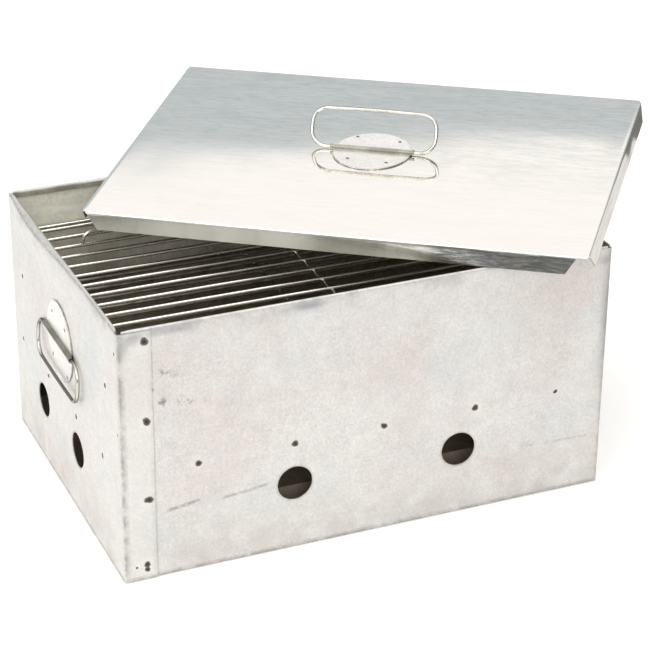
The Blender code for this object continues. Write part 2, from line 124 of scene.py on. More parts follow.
# ---- Surfaces ----
@dataclass
class Surface:
    """Points, quads and triangles, with a finish number for each face and named values for each point."""

    points: Array
    quads: Array
    tris: Array = field(default_factory=lambda: np.zeros((0, 3), int))
    quad_slot: Array = field(default_factory=lambda: np.zeros(0, int))
    marks: dict[str, Array] = field(default_factory=dict)

    def __post_init__(self) -> None:
        """Fill in the finish number 0 where none is given."""
        if len(self.quad_slot) != len(self.quads):
            self.quad_slot = np.zeros(len(self.quads), int)

    @staticmethod
    def grid(
        points: Array,
        wrap: tuple[bool, bool] = (False, False),
        keep: Optional[Array] = None,
        marks: Optional[dict[str, Array]] = None,
    ) -> "Surface":
        """A sheet of quads over a grid of points.

        Args:
            points: array of shape (rows, columns, 3).
            wrap: whether the rows and the columns close on themselves.
            keep: one truth value for each cell; cells that are false are left open.
            marks: named values of shape (rows, columns).
        Returns:
            The surface, facing along (row direction) x (column direction).
        """
        rows, cols = points.shape[:2]
        row_cells, col_cells = rows - (not wrap[0]), cols - (not wrap[1])
        r, c = np.meshgrid(np.arange(row_cells), np.arange(col_cells), indexing="ij")
        r2, c2 = (r + 1) % rows, (c + 1) % cols
        quads = row(r * cols + c, r2 * cols + c, r2 * cols + c2, r * cols + c2)
        quads = quads[keep] if keep is not None else quads.reshape(-1, 4)
        flat = {name: np.asarray(v, float).reshape(-1) for name, v in (marks or {}).items()}
        return Surface(points.reshape(-1, 3).astype(float), quads.reshape(-1, 4), marks=flat)

    @staticmethod
    def joined(parts: Sequence["Surface"]) -> "Surface":
        """Several surfaces as one, with named values padded by zero where a part has none.

        Args:
            parts: the surfaces, in order.

        Returns:
            One surface.
        """
        names = sorted({n for p in parts for n in p.marks})
        offsets = np.cumsum([0] + [len(p.points) for p in parts[:-1]])
        return Surface(
            np.concatenate([p.points for p in parts]),
            np.concatenate([p.quads + o for p, o in zip(parts, offsets)]),
            np.concatenate([p.tris + o for p, o in zip(parts, offsets)]),
            np.concatenate([p.quad_slot for p in parts]),
            {n: np.concatenate([p.marks.get(n, np.zeros(len(p.points))) for p in parts]) for n in names},
        )

    def moved(self, matrix: Matrix) -> "Surface":
        """The same surface placed by a matrix.

        Args:
            matrix: the placement.

        Returns:
            The placed surface.
        """
        m = np.array(matrix, float)
        return Surface(
            self.points @ m[:3, :3].T + m[:3, 3], self.quads, self.tris, self.quad_slot, dict(self.marks)
        )

    def to_object(self, name: str, finishes: Sequence[Material], closed: bool) -> Object:
        """A mesh object at the origin.

        Args:
            name: the piece's name.
            finishes: its materials, in slot order.
            closed: whether it is a closed shell, whose faces are then turned outwards.
        Returns:
            The linked object.
        """
        mesh = bpy.data.meshes.new(name)
        quads, tris = self.quads, self.tris
        mesh.vertices.add(len(self.points))
        mesh.vertices.foreach_set("co", self.points.astype(np.float32).ravel())
        corners = np.concatenate([quads.ravel(), tris.ravel()]).astype(np.int32)
        sizes = np.concatenate([np.full(len(quads), 4), np.full(len(tris), 3)]).astype(np.int32)
        mesh.loops.add(len(corners))
        mesh.loops.foreach_set("vertex_index", corners)
        mesh.polygons.add(len(sizes))
        mesh.polygons.foreach_set("loop_start", (np.cumsum(sizes) - sizes).astype(np.int32))
        mesh.polygons.foreach_set("loop_total", sizes)
        slots = np.concatenate([self.quad_slot, np.zeros(len(tris), int)]).astype(np.int32)
        mesh.polygons.foreach_set("material_index", slots)
        mesh.update(calc_edges=True)
        for key, values in self.marks.items():
            layer = mesh.attributes.new(key, "FLOAT", "POINT")
            layer.data.foreach_set("value", values.astype(np.float32))
        work = bmesh.new()
        work.from_mesh(mesh)
        bmesh.ops.remove_doubles(work, verts=work.verts, dist=2e-6)
        if closed:
            bmesh.ops.recalc_face_normals(work, faces=work.faces)
        work.to_mesh(mesh)
        work.free()
        mesh.validate()
        for finish in finishes:
            mesh.materials.append(finish)
        obj = bpy.data.objects.new(name, mesh)
        bpy.context.scene.collection.objects.link(obj)
        return obj


def settle(obj: Object, crease: float = 32.0) -> Object:
    """Apply the piece's modifiers and mark edges sharper than crease degrees.

    Args:
        obj: the piece.
        crease: angle in degrees above which an edge is sharp.

    Returns:
        The same piece.
    """
    if obj.modifiers:
        bpy.context.view_layer.update()
        graph = bpy.context.evaluated_depsgraph_get()
        final = bpy.data.meshes.new_from_object(obj.evaluated_get(graph))
        obj.modifiers.clear()
        old, obj.data = obj.data, final
        bpy.data.meshes.remove(old)
        final.name = obj.name
    obj.data.shade_smooth()
    obj.data.set_sharp_from_angle(angle=math.radians(crease))
    return obj


def give_thickness(obj: Object, thickness: float, inside: int = 0) -> Object:
    """Turn an open sheet into a closed one, grown inwards from its face.

    Args:
        obj: the sheet.
        thickness: the wall in metres.
        inside: how many slots further on the inner face's finish is.
    Returns:
        The same object, settled.
    """
    wall = obj.modifiers.new("thickness", "SOLIDIFY")
    wall.thickness, wall.offset, wall.use_even_offset = thickness, -1.0, True
    wall.material_offset = inside
    return settle(obj)


def wire(
    path: Array, radius: float, normal: Sequence[float], sides: int = 14, closed: bool = False
) -> Surface:
    """A round wire along a path that lies in one plane.

    Formula: each point of the path carries a ring p + r (cos a * side + sin a * normal), where side is
    tangent x normal.  An open wire ends in half-round caps.

    Args:
        path: points of shape (n, 3).
        radius: the wire's radius.
        normal: unit normal of the path's plane.
        sides: points in a ring.
        closed: whether the path is a closed loop.
    Returns:
        The closed surface.
    """
    points, plane = np.asarray(path, float), np.asarray(normal, float)
    if closed:
        tangent = np.roll(points, -1, 0) - np.roll(points, 1, 0)
    else:
        tangent = np.gradient(points, axis=0)
    tangent /= np.linalg.norm(tangent, axis=1, keepdims=True)
    scale = np.ones(len(points))
    if not closed:
        bend = np.radians([88.0, 65.0, 40.0, 18.0])
        head = points[0] - tangent[0] * (radius * np.sin(bend))[:, None]
        tail = points[-1] + tangent[-1] * (radius * np.sin(bend[::-1]))[:, None]
        points = np.concatenate([head, points, tail])
        tangent = np.concatenate([np.repeat(tangent[:1], 4, 0), tangent, np.repeat(tangent[-1:], 4, 0)])
        scale = np.concatenate([np.cos(bend), scale, np.cos(bend[::-1])])
    side = np.cross(tangent, plane)
    side /= np.linalg.norm(side, axis=1, keepdims=True)
    up = np.cross(side, tangent)
    angle = np.linspace(0, 2 * math.pi, sides, endpoint=False)
    spoke = side[:, None] * np.cos(angle)[None, :, None] + up[:, None] * np.sin(angle)[None, :, None]
    body = Surface.grid(points[:, None] + spoke * (radius * scale)[:, None, None], wrap=(closed, True))
    if closed:
        return body
    ring, last = np.arange(sides), len(points) - 1
    poles = np.stack([points[0], points[-1]])
    base = len(body.points)
    first = row(np.full(sides, base), np.roll(ring, -1), ring)
    end = row(np.full(sides, base + 1), last * sides + ring, last * sides + np.roll(ring, -1))
    return Surface(np.concatenate([body.points, poles]), body.quads, np.concatenate([first, end]))


def bent_strip(
    profile: Array, origin: Sequence[float], axes: tuple, length: float, pitch: float
) -> Surface:
    """A folded strip: a section in two axes pushed along the third.

    Args:
        profile: section points (n, 2) along the first two axes.
        origin: where the section's zero starts.
        axes: three unit directions, the last along the strip.
        length: the strip's length.
        pitch: spacing of the stations along it.
    Returns:
        The open sheet.
    """
    u, v, w = (np.asarray(a, float) for a in axes)
    run = steps(0.0, length, pitch=pitch)
    section = profile[:, :1] * u + profile[:, 1:] * v
    return Surface.grid(np.asarray(origin, float) + section[None] + run[:, None, None] * w)


def rounded_corner(before: Array, corner: Array, after: Array, radius: float, count: int = 5) -> Array:
    """Points of a bend of the given radius that replaces one corner of a section.

    Args:
        before: the corner point before.
        corner: the corner that the bend replaces.
        after: the corner point after.
        radius: radius of the bend or mark.
        count: how many equal turns.

    Returns:
        Points of the bend, count + 1 of them.
    """
    a, b = before - corner, after - corner
    a, b = a / np.linalg.norm(a), b / np.linalg.norm(b)
    half = math.acos(max(-1.0, min(1.0, float(a @ b)))) / 2
    centre = corner + (a + b) / np.linalg.norm(a + b) * radius / math.sin(half)
    start = corner + a * radius / math.tan(half) - centre
    stop = corner + b * radius / math.tan(half) - centre
    share = np.linspace(0, 1, count + 1)[:, None]
    mix = start * (1 - share) + stop * share
    return centre + mix / np.linalg.norm(mix, axis=1, keepdims=True) * radius


def folded(points: Sequence[Sequence[float]], radius: float, pitch: float = 0.004) -> Array:
    """A section with straight legs and equal bends, as a dense line of points.

    Args:
        points: corners of the section.
        radius: radius of the bend or mark.
        pitch: about how far apart the stations are.

    Returns:
        Points of the section.
    """
    raw = np.asarray(points, float)
    line = [raw[:1]]
    for before, corner, after in zip(raw[:-2], raw[1:-1], raw[2:]):
        line.append(rounded_corner(before, corner, after, radius))
    line.append(raw[-1:])
    joined = np.concatenate(line)
    out = [joined[:1]]
    for a, b in zip(joined[:-1], joined[1:]):
        count = max(1, int(np.linalg.norm(b - a) / pitch))
        out.append(a + (b - a) * np.linspace(0, 1, count + 1)[1:, None])
    return np.concatenate(out)


def ripple(x: Array, y: Array, seed: float, wavelength: float) -> Array:
    """Slow waves of hand-worked sheet, between about -1 and 1.

    Formula: the mean of four sines that run in different directions, at 1, 1.7, 2.3 and 0.6 times
    the base frequency.

    Args:
        x: first coordinates.
        y: second coordinates.
        seed: where the waves start.
        wavelength: the base wavelength.

    Returns:
        The heights.
    """
    k = 2 * math.pi / wavelength
    total = np.sin(k * (x * 0.92 + y * 0.39) + seed)
    total = total + np.sin(1.7 * k * (y * 0.85 - x * 0.53) + 2.3 * seed)
    total = total + np.sin(2.3 * k * (x * 0.31 + y * 0.95) + 4.1 * seed)
    total = total + np.sin(0.6 * k * (x * 0.71 - y * 0.70) + 5.9 * seed)
    return total / 4.0


# ---- Shader helpers ----
class Graph:
    """Adds nodes and links to one node tree."""

    def __init__(self, tree: Tree) -> None:
        """Keep the tree that the nodes go into."""
        self.tree = tree

    def node(self, kind: str, **settings: object) -> Node:
        """A new node with the given properties.

        Args:
            kind: the node's type name.
            settings: its properties by name.

        Returns:
            The node.
        """
        made = self.tree.nodes.new(kind)
        for key, value in settings.items():
            setattr(made, key, value)
        return made

    def put(self, socket: Socket, value: Optional[Value]) -> None:
        """Link a socket to another, or set its value.

        Args:
            socket: the input.
            value: another socket, or a plain value; None leaves it.
        """
        if isinstance(value, Socket):
            self.tree.links.new(value, socket)
        elif value is not None:
            if socket.type == "RGBA" and len(value) == 3:
                value = (*value, 1.0)
            socket.default_value = value

    def math(self, operation: str, a: Value, b: Optional[Value] = None, clamp: bool = False) -> Socket:
        """One arithmetic step.

        Args:
            operation: the operation's name.
            a: first operand.
            b: second operand.
            clamp: whether the result is held between 0 and 1.

        Returns:
            Its output.
        """
        made = self.node("ShaderNodeMath", operation=operation, use_clamp=clamp)
        self.put(made.inputs[0], a)
        self.put(made.inputs[1], b)
        return made.outputs[0]

    def plus(self, a: Value, b: Value, clamp: bool = False) -> Socket:
        """The sum of two values."""
        return self.math("ADD", a, b, clamp)

    def minus(self, a: Value, b: Value, clamp: bool = False) -> Socket:
        """The first value less the second."""
        return self.math("SUBTRACT", a, b, clamp)

    def times(self, a: Value, b: Value, clamp: bool = False) -> Socket:
        """The product of two values."""
        return self.math("MULTIPLY", a, b, clamp)

    def swing(self, noise: Value, gain: float) -> Socket:
        """How far a noise stands from its middle, times gain."""
        return self.times(self.minus(noise, 0.5), gain)

    def axes(self, vector: Value) -> tuple[Socket, Socket, Socket]:
        """The three coordinates of a vector.

        Args:
            vector: the coordinates.

        Returns:
            x, y and z.
        """
        made = self.node("ShaderNodeSeparateXYZ")
        self.put(made.inputs[0], vector)
        return tuple(made.outputs)

    def toned(self, colour: Value, tone: Value) -> Socket:
        """A colour with every channel multiplied by the same value.

        Args:
            colour: the colour.
            tone: the factor.

        Returns:
            The toned colour.
        """
        grey = self.node("ShaderNodeCombineColor")
        for channel in range(3):
            self.put(grey.inputs[channel], tone)
        return self.mix(1.0, colour, grey.outputs[0], "MULTIPLY")

    def vector(self, operation: str, a: Value, b: Optional[Value] = None) -> Node:
        """One vector step; the node is returned because its output depends on the operation.

        Args:
            operation: the operation's name.
            a: first operand.
            b: second operand.

        Returns:
            The node.
        """
        made = self.node("ShaderNodeVectorMath", operation=operation)
        self.put(made.inputs[0], a)
        self.put(made.inputs[1], b)
        return made

    def mix(self, share: Value, a: Value, b: Value, blend: str = "MIX") -> Socket:
        """A blend of two colours.

        Args:
            share: how much of the second colour shows.
            a: first operand.
            b: second operand.
            blend: the blend mode.

        Returns:
            The blended colour.
        """
        made = self.node("ShaderNodeMix", data_type="RGBA", blend_type=blend)
        self.put(made.inputs[0], share)
        self.put(made.inputs[6], a)
        self.put(made.inputs[7], b)
        return made.outputs[2]

    def noise(
        self, vector: Value, scale: float, detail: float = 2.0, rough: float = 0.5, warp: float = 0.0
    ) -> Socket:
        """Noise from 0 to 1 at the given number of cells to the metre.

        Args:
            vector: the coordinates.
            scale: cells to the metre, or the factor for each axis.
            detail: number of octaves.
            rough: each octave's share of the one before.
            warp: how much the noise is warped.

        Returns:
            The noise.
        """
        made = self.node("ShaderNodeTexNoise")
        self.put(made.inputs["Vector"], vector)
        for key, value in (
            ("Scale", scale), ("Detail", detail), ("Roughness", rough), ("Distortion", warp)
        ):
            made.inputs[key].default_value = value
        return made.outputs[0]

    def spread(
        self, value: Value, low: float, high: float, start: float = 0.0, stop: float = 1.0
    ) -> Socket:
        """Smooth ramp: start where value is low and stop where it is high.

        Args:
            value: the input.
            low: input where the ramp starts.
            high: input where the ramp ends.
            start: output at low.
            stop: output at high.

        Returns:
            The ramp.
        """
        made = self.node("ShaderNodeMapRange", interpolation_type="SMOOTHSTEP")
        self.put(made.inputs["Value"], value)
        for key, number in (("From Min", low), ("From Max", high), ("To Min", start), ("To Max", stop)):
            made.inputs[key].default_value = number
        return made.outputs[0]

    def mark(self, name: str) -> Socket:
        """The value that the piece's own named attribute has here."""
        return self.node("ShaderNodeAttribute", attribute_name=name).outputs["Fac"]

    def placed(
        self,
        vector: Value,
        scale: Sequence[float],
        turn: Sequence[float] = (0, 0, 0),
        shift: Sequence[float] = (0, 0, 0),
    ) -> Socket:
        """Coordinates scaled, turned (radians) and shifted.

        Args:
            vector: the coordinates.
            scale: factor for each axis.
            turn: angles in radians.
            shift: offset in metres.

        Returns:
            The new coordinates.
        """
        made = self.node("ShaderNodeMapping")
        self.put(made.inputs["Vector"], vector)
        made.inputs["Scale"].default_value = scale
        made.inputs["Rotation"].default_value = turn
        made.inputs["Location"].default_value = shift
        return made.outputs[0]

    def group(self, tree: Tree, **values: Value) -> Node:
        """A placed group with its own input values.

        Args:
            tree: the group.
            values: its inputs by name, with _ for a space.

        Returns:
            The group's node.
        """
        made = self.node("ShaderNodeGroup", node_tree=tree)
        for key, value in values.items():
            self.put(made.inputs[key.replace("_", " ")], value)
        return made


class Coat(Graph):
    """The graph of a material, with its Principled shader and its Object coordinates."""

    def __init__(self, tree: Tree) -> None:
        """Find the shader and add the coordinates.

        Args:
            tree: the node tree of the material.
        """
        super().__init__(tree)
        self.shader = tree.nodes["Principled BSDF"]
        self.place = self.node("ShaderNodeTexCoord").outputs["Object"]

    def feed(self, name: str, value: Value) -> None:
        """Link or set one input of the shader."""
        self.put(self.shader.inputs[name], value)


def new_group(
    name: str, inputs: Sequence[tuple], outputs: Sequence[tuple]
) -> tuple[Tree, Graph, dict, Node]:
    """An empty shader group with named sockets.

    Args:
        name: the group's name.
        inputs: (name, kind, start value) of each input, where kind is Float, Color or Vector.
        outputs: (name, kind) of each output.
    Returns:
        The tree, its graph, the input sockets by name and the output node.
    """
    tree = bpy.data.node_groups.new(name, "ShaderNodeTree")
    for label, kind, value in inputs:
        socket = tree.interface.new_socket(label, in_out="INPUT", socket_type="NodeSocket" + kind)
        if value is not None:
            socket.default_value = value
    for label, kind in outputs:
        tree.interface.new_socket(label, in_out="OUTPUT", socket_type="NodeSocket" + kind)
    graph = Graph(tree)
    entry, leave = graph.node("NodeGroupInput"), graph.node("NodeGroupOutput")
    return tree, graph, {s.name: s for s in entry.outputs}, leave


class Effects:
    """Shader groups that several finishes share, each built once."""

    @staticmethod
    @lru_cache(maxsize=None)
    def zinc_skin() -> Tree:
        """Galvanised skin: cloudy tints, faint crystals and fine grain.

        Mix the tints by three sizes of noise; height follows the grain.

        Returns:
            The group.
        """
        tree, g, given, leave = new_group(
            "zinc_skin",
            [
                ("Vector", "Vector", None),
                ("Base", "Color", (0.8, 0.8, 0.8, 1)),
                ("Warm", "Color", (0.8, 0.75, 0.75, 1)),
                ("Cool", "Color", (0.75, 0.8, 0.8, 1)),
                ("Grain", "Float", 1.0),
            ],
            [("Color", "Color"), ("Roughness", "Float"), ("Height", "Float")],
        )
        place = given["Vector"]
        cloud = g.noise(place, 11.0, 3.0, 0.55, 0.4)
        cloud_2 = g.noise(g.vector("ADD", place, (3.1, 1.7, 5.3)).outputs[0], 17.0, 3.0, 0.55, 0.3)
        colour = g.mix(g.spread(cloud, 0.42, 0.72), given["Base"], given["Warm"])
        colour = g.mix(g.spread(cloud_2, 0.46, 0.76), colour, given["Cool"])
        crystal = g.node("ShaderNodeTexVoronoi", feature="F1")
        g.put(crystal.inputs["Vector"], place)
        crystal.inputs["Scale"].default_value = 210.0
        facet = g.node("ShaderNodeSeparateColor")
        g.put(facet.inputs[0], crystal.outputs["Color"])
        grain = g.noise(place, 1500.0, 2.0, 0.6)
        fleck = g.noise(place, 420.0, 3.0, 0.65)
        tone = g.math("MULTIPLY_ADD", facet.outputs[0], 0.035)
        tone.node.inputs[2].default_value = 0.9825
        rub = g.times(g.minus(grain, 0.5), given["Grain"])
        rub = g.plus(g.times(rub, 0.55), g.swing(fleck, 0.50))
        blot = g.noise(g.vector("ADD", place, (9.2, 4.4, 7.7)).outputs[0], 90.0, 3.0, 0.6)
        rub = g.plus(rub, g.swing(blot, 0.22))
        tone = g.plus(tone, rub)
        g.put(leave.inputs["Color"], g.toned(colour, tone))
        rough = g.plus(g.swing(cloud, 0.25), g.times(fleck, 0.1))
        g.put(leave.inputs["Roughness"], rough)
        high = g.plus(g.times(grain, 0.5), g.times(fleck, 0.5))
        g.put(leave.inputs["Height"], high)
        return tree

    @staticmethod
    @lru_cache(maxsize=None)
    def brushed() -> Tree:
        """Long fine streaks along the first coordinate.

        Two noises squeezed across the streak direction, one broad and one hair fine.

        Returns:
            The group.
        """
        tree, g, given, leave = new_group(
            "brushed", [("Vector", "Vector", None)], [("Broad", "Float"), ("Fine", "Float")]
        )
        broad = g.noise(g.placed(given["Vector"], (13.0, 75.0, 75.0)), 1.0, 5.0, 0.65, 0.5)
        fine = g.noise(g.placed(given["Vector"], (40.0, 900.0, 900.0)), 1.0, 4.0, 0.7)
        g.put(leave.inputs["Broad"], broad)
        g.put(leave.inputs["Fine"], fine)
        return tree

    @staticmethod
    @lru_cache(maxsize=None)
    def line_mark() -> Tree:
        """A thin dark line between two points, broken up by noise; it draws scratches and crease lines, and
        painted shadow lines beside the lap seams.

        Distance to the segment p = a + h (b - a), with h held between 0 and 1, against the width.

        Returns:
            The group.
        """
        tree, g, given, leave = new_group(
            "line_mark",
            [
                ("Vector", "Vector", None),
                ("Start", "Vector", (0, 0, 0)),
                ("End", "Vector", (0, 0, 0.1)),
                ("Width", "Float", 0.0006),
                ("Gaps", "Float", 0.45),
            ],
            [("Mask", "Float")],
        )
        wobble = g.noise(given["Vector"], 35.0, 2.0)
        place = g.vector("ADD", given["Vector"], g.swing(wobble, 0.003))
        rel = g.vector("SUBTRACT", place.outputs[0], given["Start"]).outputs[0]
        run = g.vector("SUBTRACT", given["End"], given["Start"]).outputs[0]
        share = g.math(
            "DIVIDE",
            g.vector("DOT_PRODUCT", rel, run).outputs["Value"],
            g.vector("DOT_PRODUCT", run, run).outputs["Value"],
            clamp=True,
        )
        foot = g.node("ShaderNodeVectorMath", operation="SCALE")
        g.put(foot.inputs[0], run)
        g.put(foot.inputs["Scale"], share)
        away = g.vector("LENGTH", g.vector("SUBTRACT", rel, foot.outputs[0]).outputs[0]).outputs["Value"]
        mask = g.minus(1.0, g.math("DIVIDE", away, given["Width"]), clamp=True)
        taper = g.spread(g.times(share, g.minus(1.0, share)), 0.0, 0.12)
        broken = g.noise(given["Vector"], 160.0, 3.0, 0.6)
        keep = g.times(g.minus(broken, given["Gaps"]), 6.0, clamp=True)
        g.put(leave.inputs["Mask"], g.times(g.times(mask, taper), keep))
        return tree

    @staticmethod
    @lru_cache(maxsize=None)
    def scuffs() -> Tree:
        """Sparse short scratches in two directions.

        Squeezed noises with only their peaks kept, times a patchy mask.

        Returns:
            The group.
        """
        tree, g, given, leave = new_group(
            "scuffs", [("Vector", "Vector", None), ("Amount", "Float", 1.0)], [("Mask", "Float")]
        )
        first = g.noise(g.placed(given["Vector"], (60.0, 60.0, 1100.0), (0.25, 0.1, 0.0)), 1.0, 2.0, 0.6)
        second = g.noise(g.placed(given["Vector"], (900.0, 900.0, 45.0), (0.35, -0.5, 0.3)), 1.0, 2.0, 0.6)
        patch = g.spread(g.noise(given["Vector"], 16.0, 2.0), 0.5, 0.68)
        peaks = g.math("MAXIMUM", g.spread(first, 0.69, 0.76), g.spread(second, 0.71, 0.78))
        g.put(leave.inputs["Mask"], g.times(g.times(peaks, patch), given["Amount"]))
        return tree

    @staticmethod
    @lru_cache(maxsize=None)
    def smoke_veil() -> Tree:
        """Brown smoke film with drips and blotches.

        The level pushed up and down by cloudy noise and by noise drawn out downwards.

        Returns:
            The group.
        """
        tree, g, given, leave = new_group(
            "smoke_veil", [("Vector", "Vector", None), ("Level", "Float", 0.5)], [("Mask", "Float")]
        )
        cloud = g.noise(given["Vector"], 26.0, 4.0, 0.6, 0.5)
        drip = g.noise(g.placed(given["Vector"], (120.0, 120.0, 14.0)), 1.0, 3.0, 0.6)
        stir = g.plus(g.swing(cloud, 0.9), g.swing(drip, 0.7))
        g.put(leave.inputs["Mask"], g.plus(given["Level"], stir, clamp=True))
        return tree


# ---- Finishes ----
@dataclass(frozen=True)
class Finish:
    """Base of every finish: a Principled shader with an Object-coordinate vector."""

    name: str
    metallic: float = 1.0
    roughness: float = 0.4
    bump: float = 0.1
    bump_distance: float = 0.0004

    def build(self) -> Material:
        """The finished material.

        Returns:
            The material.
        """
        made = bpy.data.materials.new(self.name)
        made.use_nodes = True
        coat = Coat(made.node_tree)
        coat.shader.inputs["Metallic"].default_value = self.metallic
        coat.shader.inputs["Roughness"].default_value = self.roughness
        self.dress(coat)
        return made

    def dress(self, g: Coat) -> None:
        """Connect colour, roughness and bump; each finish has its own."""
        raise NotImplementedError

    def raise_bump(self, g: Coat, height: Socket) -> None:
        """Feed a height through a Bump node into the shader's normal.

        Args:
            g: the material's graph.
            height: the height to feed in.
        """
        node = g.node("ShaderNodeBump")
        node.inputs["Strength"].default_value = self.bump
        node.inputs["Distance"].default_value = self.bump_distance
        g.put(node.inputs["Height"], height)
        g.feed("Normal", node.outputs[0])


@dataclass(frozen=True)
class ZincOutside(Finish):
    """Matt galvanised sheet seen from outside."""

    base: Colour = srgb(210, 208, 205)
    tuck_shade_low: Colour = srgb(158, 155, 141)
    tuck_shade_high: Colour = srgb(196, 193, 180)
    warm: Colour = srgb(209, 203, 200)
    cool: Colour = srgb(202, 204, 203)
    rim: float = RIM_Z
    grain: float = 1.0
    creases_and_seam_shadows: tuple = ()

    def dress(self, g: Coat) -> None:
        """Zinc skin, a darker band under the rim, dirt along the foot, weld haloes, smudge marks, scuffs,
        crease lines, wear, and painted shade at corners, edges, seams and handle channels.

        Args:
            g: the material's graph.
        """
        skin = g.group(
            Effects.zinc_skin(),
            Vector=g.place,
            Base=self.base,
            Warm=self.warm,
            Cool=self.cool,
            Grain=self.grain,
        )
        height = g.axes(g.place)[2]
        grime = g.noise(g.place, 38.0, 4.0, 0.6, 0.4)
        # A darker noisy band just under the rim; dirt along the foot.
        under = g.times(g.spread(height, self.rim - 0.016, self.rim - 0.003), g.spread(grime, 0.46, 0.66))
        foot = g.times(g.spread(height, 0.060, 0.0), g.spread(grime, 0.36, 0.66))
        colour = g.mix(g.times(g.mark("lap"), 0.4), skin.outputs["Color"], srgb(220, 218, 214))
        colour = g.mix(g.times(under, 0.30), colour, srgb(150, 148, 148))
        colour = g.mix(g.times(foot, 0.40), colour, srgb(176, 171, 158))
        # Painted shade down the right front corner, with smudge marks under the rim near the front corners.
        colour = g.mix(g.times(g.mark("haze"), 0.60), colour, srgb(128, 129, 134))
        colour = g.mix(g.times(g.mark("halo"), 0.45), colour, srgb(232, 229, 224))
        # Darkened edges, broken up by noise: wear on the rims and air holes, painted shade along the wall
        # corners, and a painted shadow beside the lap edges and round the handle discs.
        rubbed_and_shaded = g.times(g.mark("worn"), g.spread(g.noise(g.place, 120.0, 4.0, 0.7), 0.34, 0.62, 0.25, 1.0))
        colour = g.mix(g.times(rubbed_and_shaded, 0.75), colour, srgb(128, 125, 118))
        # On the walls, the hem's inner face takes the inside tone; on the handle discs this paints shade on
        # the channel's front flank and a dark hollow in its open ends.
        colour = g.mix(
            g.mark("tucked"), colour, g.mix(g.spread(grime, 0.35, 0.6), self.tuck_shade_low, self.tuck_shade_high)
        )
        dark = g.group(Effects.scuffs(), Vector=g.place, Amount=0.35).outputs[0]
        # Scuffs and crease lines, and painted shadow lines beside the lap seams, all darken the colour.
        for start, end, width, gaps, depth in self.creases_and_seam_shadows:
            values = {"Start": start, "End": end, "Width": width, "Gaps": gaps}
            line = g.group(Effects.line_mark(), Vector=g.place, **values)
            dark = g.math("MAXIMUM", dark, g.times(line.outputs[0], depth))
        colour = g.mix(dark, colour, srgb(112, 109, 102))
        g.feed("Base Color", colour)
        rough = g.plus(self.roughness - 0.05, skin.outputs["Roughness"])
        g.feed("Roughness", g.plus(rough, g.times(under, 0.08), clamp=True))
        self.raise_bump(g, g.minus(skin.outputs["Height"], g.times(dark, 1.4)))


@dataclass(frozen=True)
class ZincInside(Finish):
    """The inside of the walls: zinc under a brown film that grows darker towards the bottom."""

    base: Colour = srgb(236, 234, 219)
    warm: Colour = srgb(226, 222, 206)
    cool: Colour = srgb(214, 217, 203)
    smoke: Colour = srgb(122, 110, 94)
    clear_at: float = 0.180
    dark_at: float = 0.080

    def dress(self, g: Coat) -> None:
        """Zinc skin with brushed smears, then a brown film that grows darker towards the bottom.

        Args:
            g: the material's graph.
        """
        skin = g.group(Effects.zinc_skin(), Vector=g.place, Base=self.base, Warm=self.warm, Cool=self.cool)
        smear = g.noise(g.placed(g.place, (9.0, 9.0, 70.0)), 1.0, 3.0, 0.6, 0.6)
        colour = g.mix(
            g.times(g.spread(smear, 0.52, 0.66), 0.75), skin.outputs["Color"], srgb(247, 245, 235)
        )
        # Darker towards the bottom: the film thickens downwards.
        level = g.spread(g.axes(g.place)[2], self.clear_at, self.dark_at, 0.0, 0.95)
        veil = g.group(Effects.smoke_veil(), Vector=g.place, Level=level).outputs[0]
        film = g.times(veil, g.spread(level, 0.0, 0.35))
        colour = g.mix(film, colour, self.smoke)
        g.feed("Base Color", colour)
        rough = g.plus(self.roughness, skin.outputs["Roughness"])
        g.feed("Roughness", g.plus(rough, g.times(film, 0.22), clamp=True))
        self.raise_bump(g, skin.outputs["Height"])


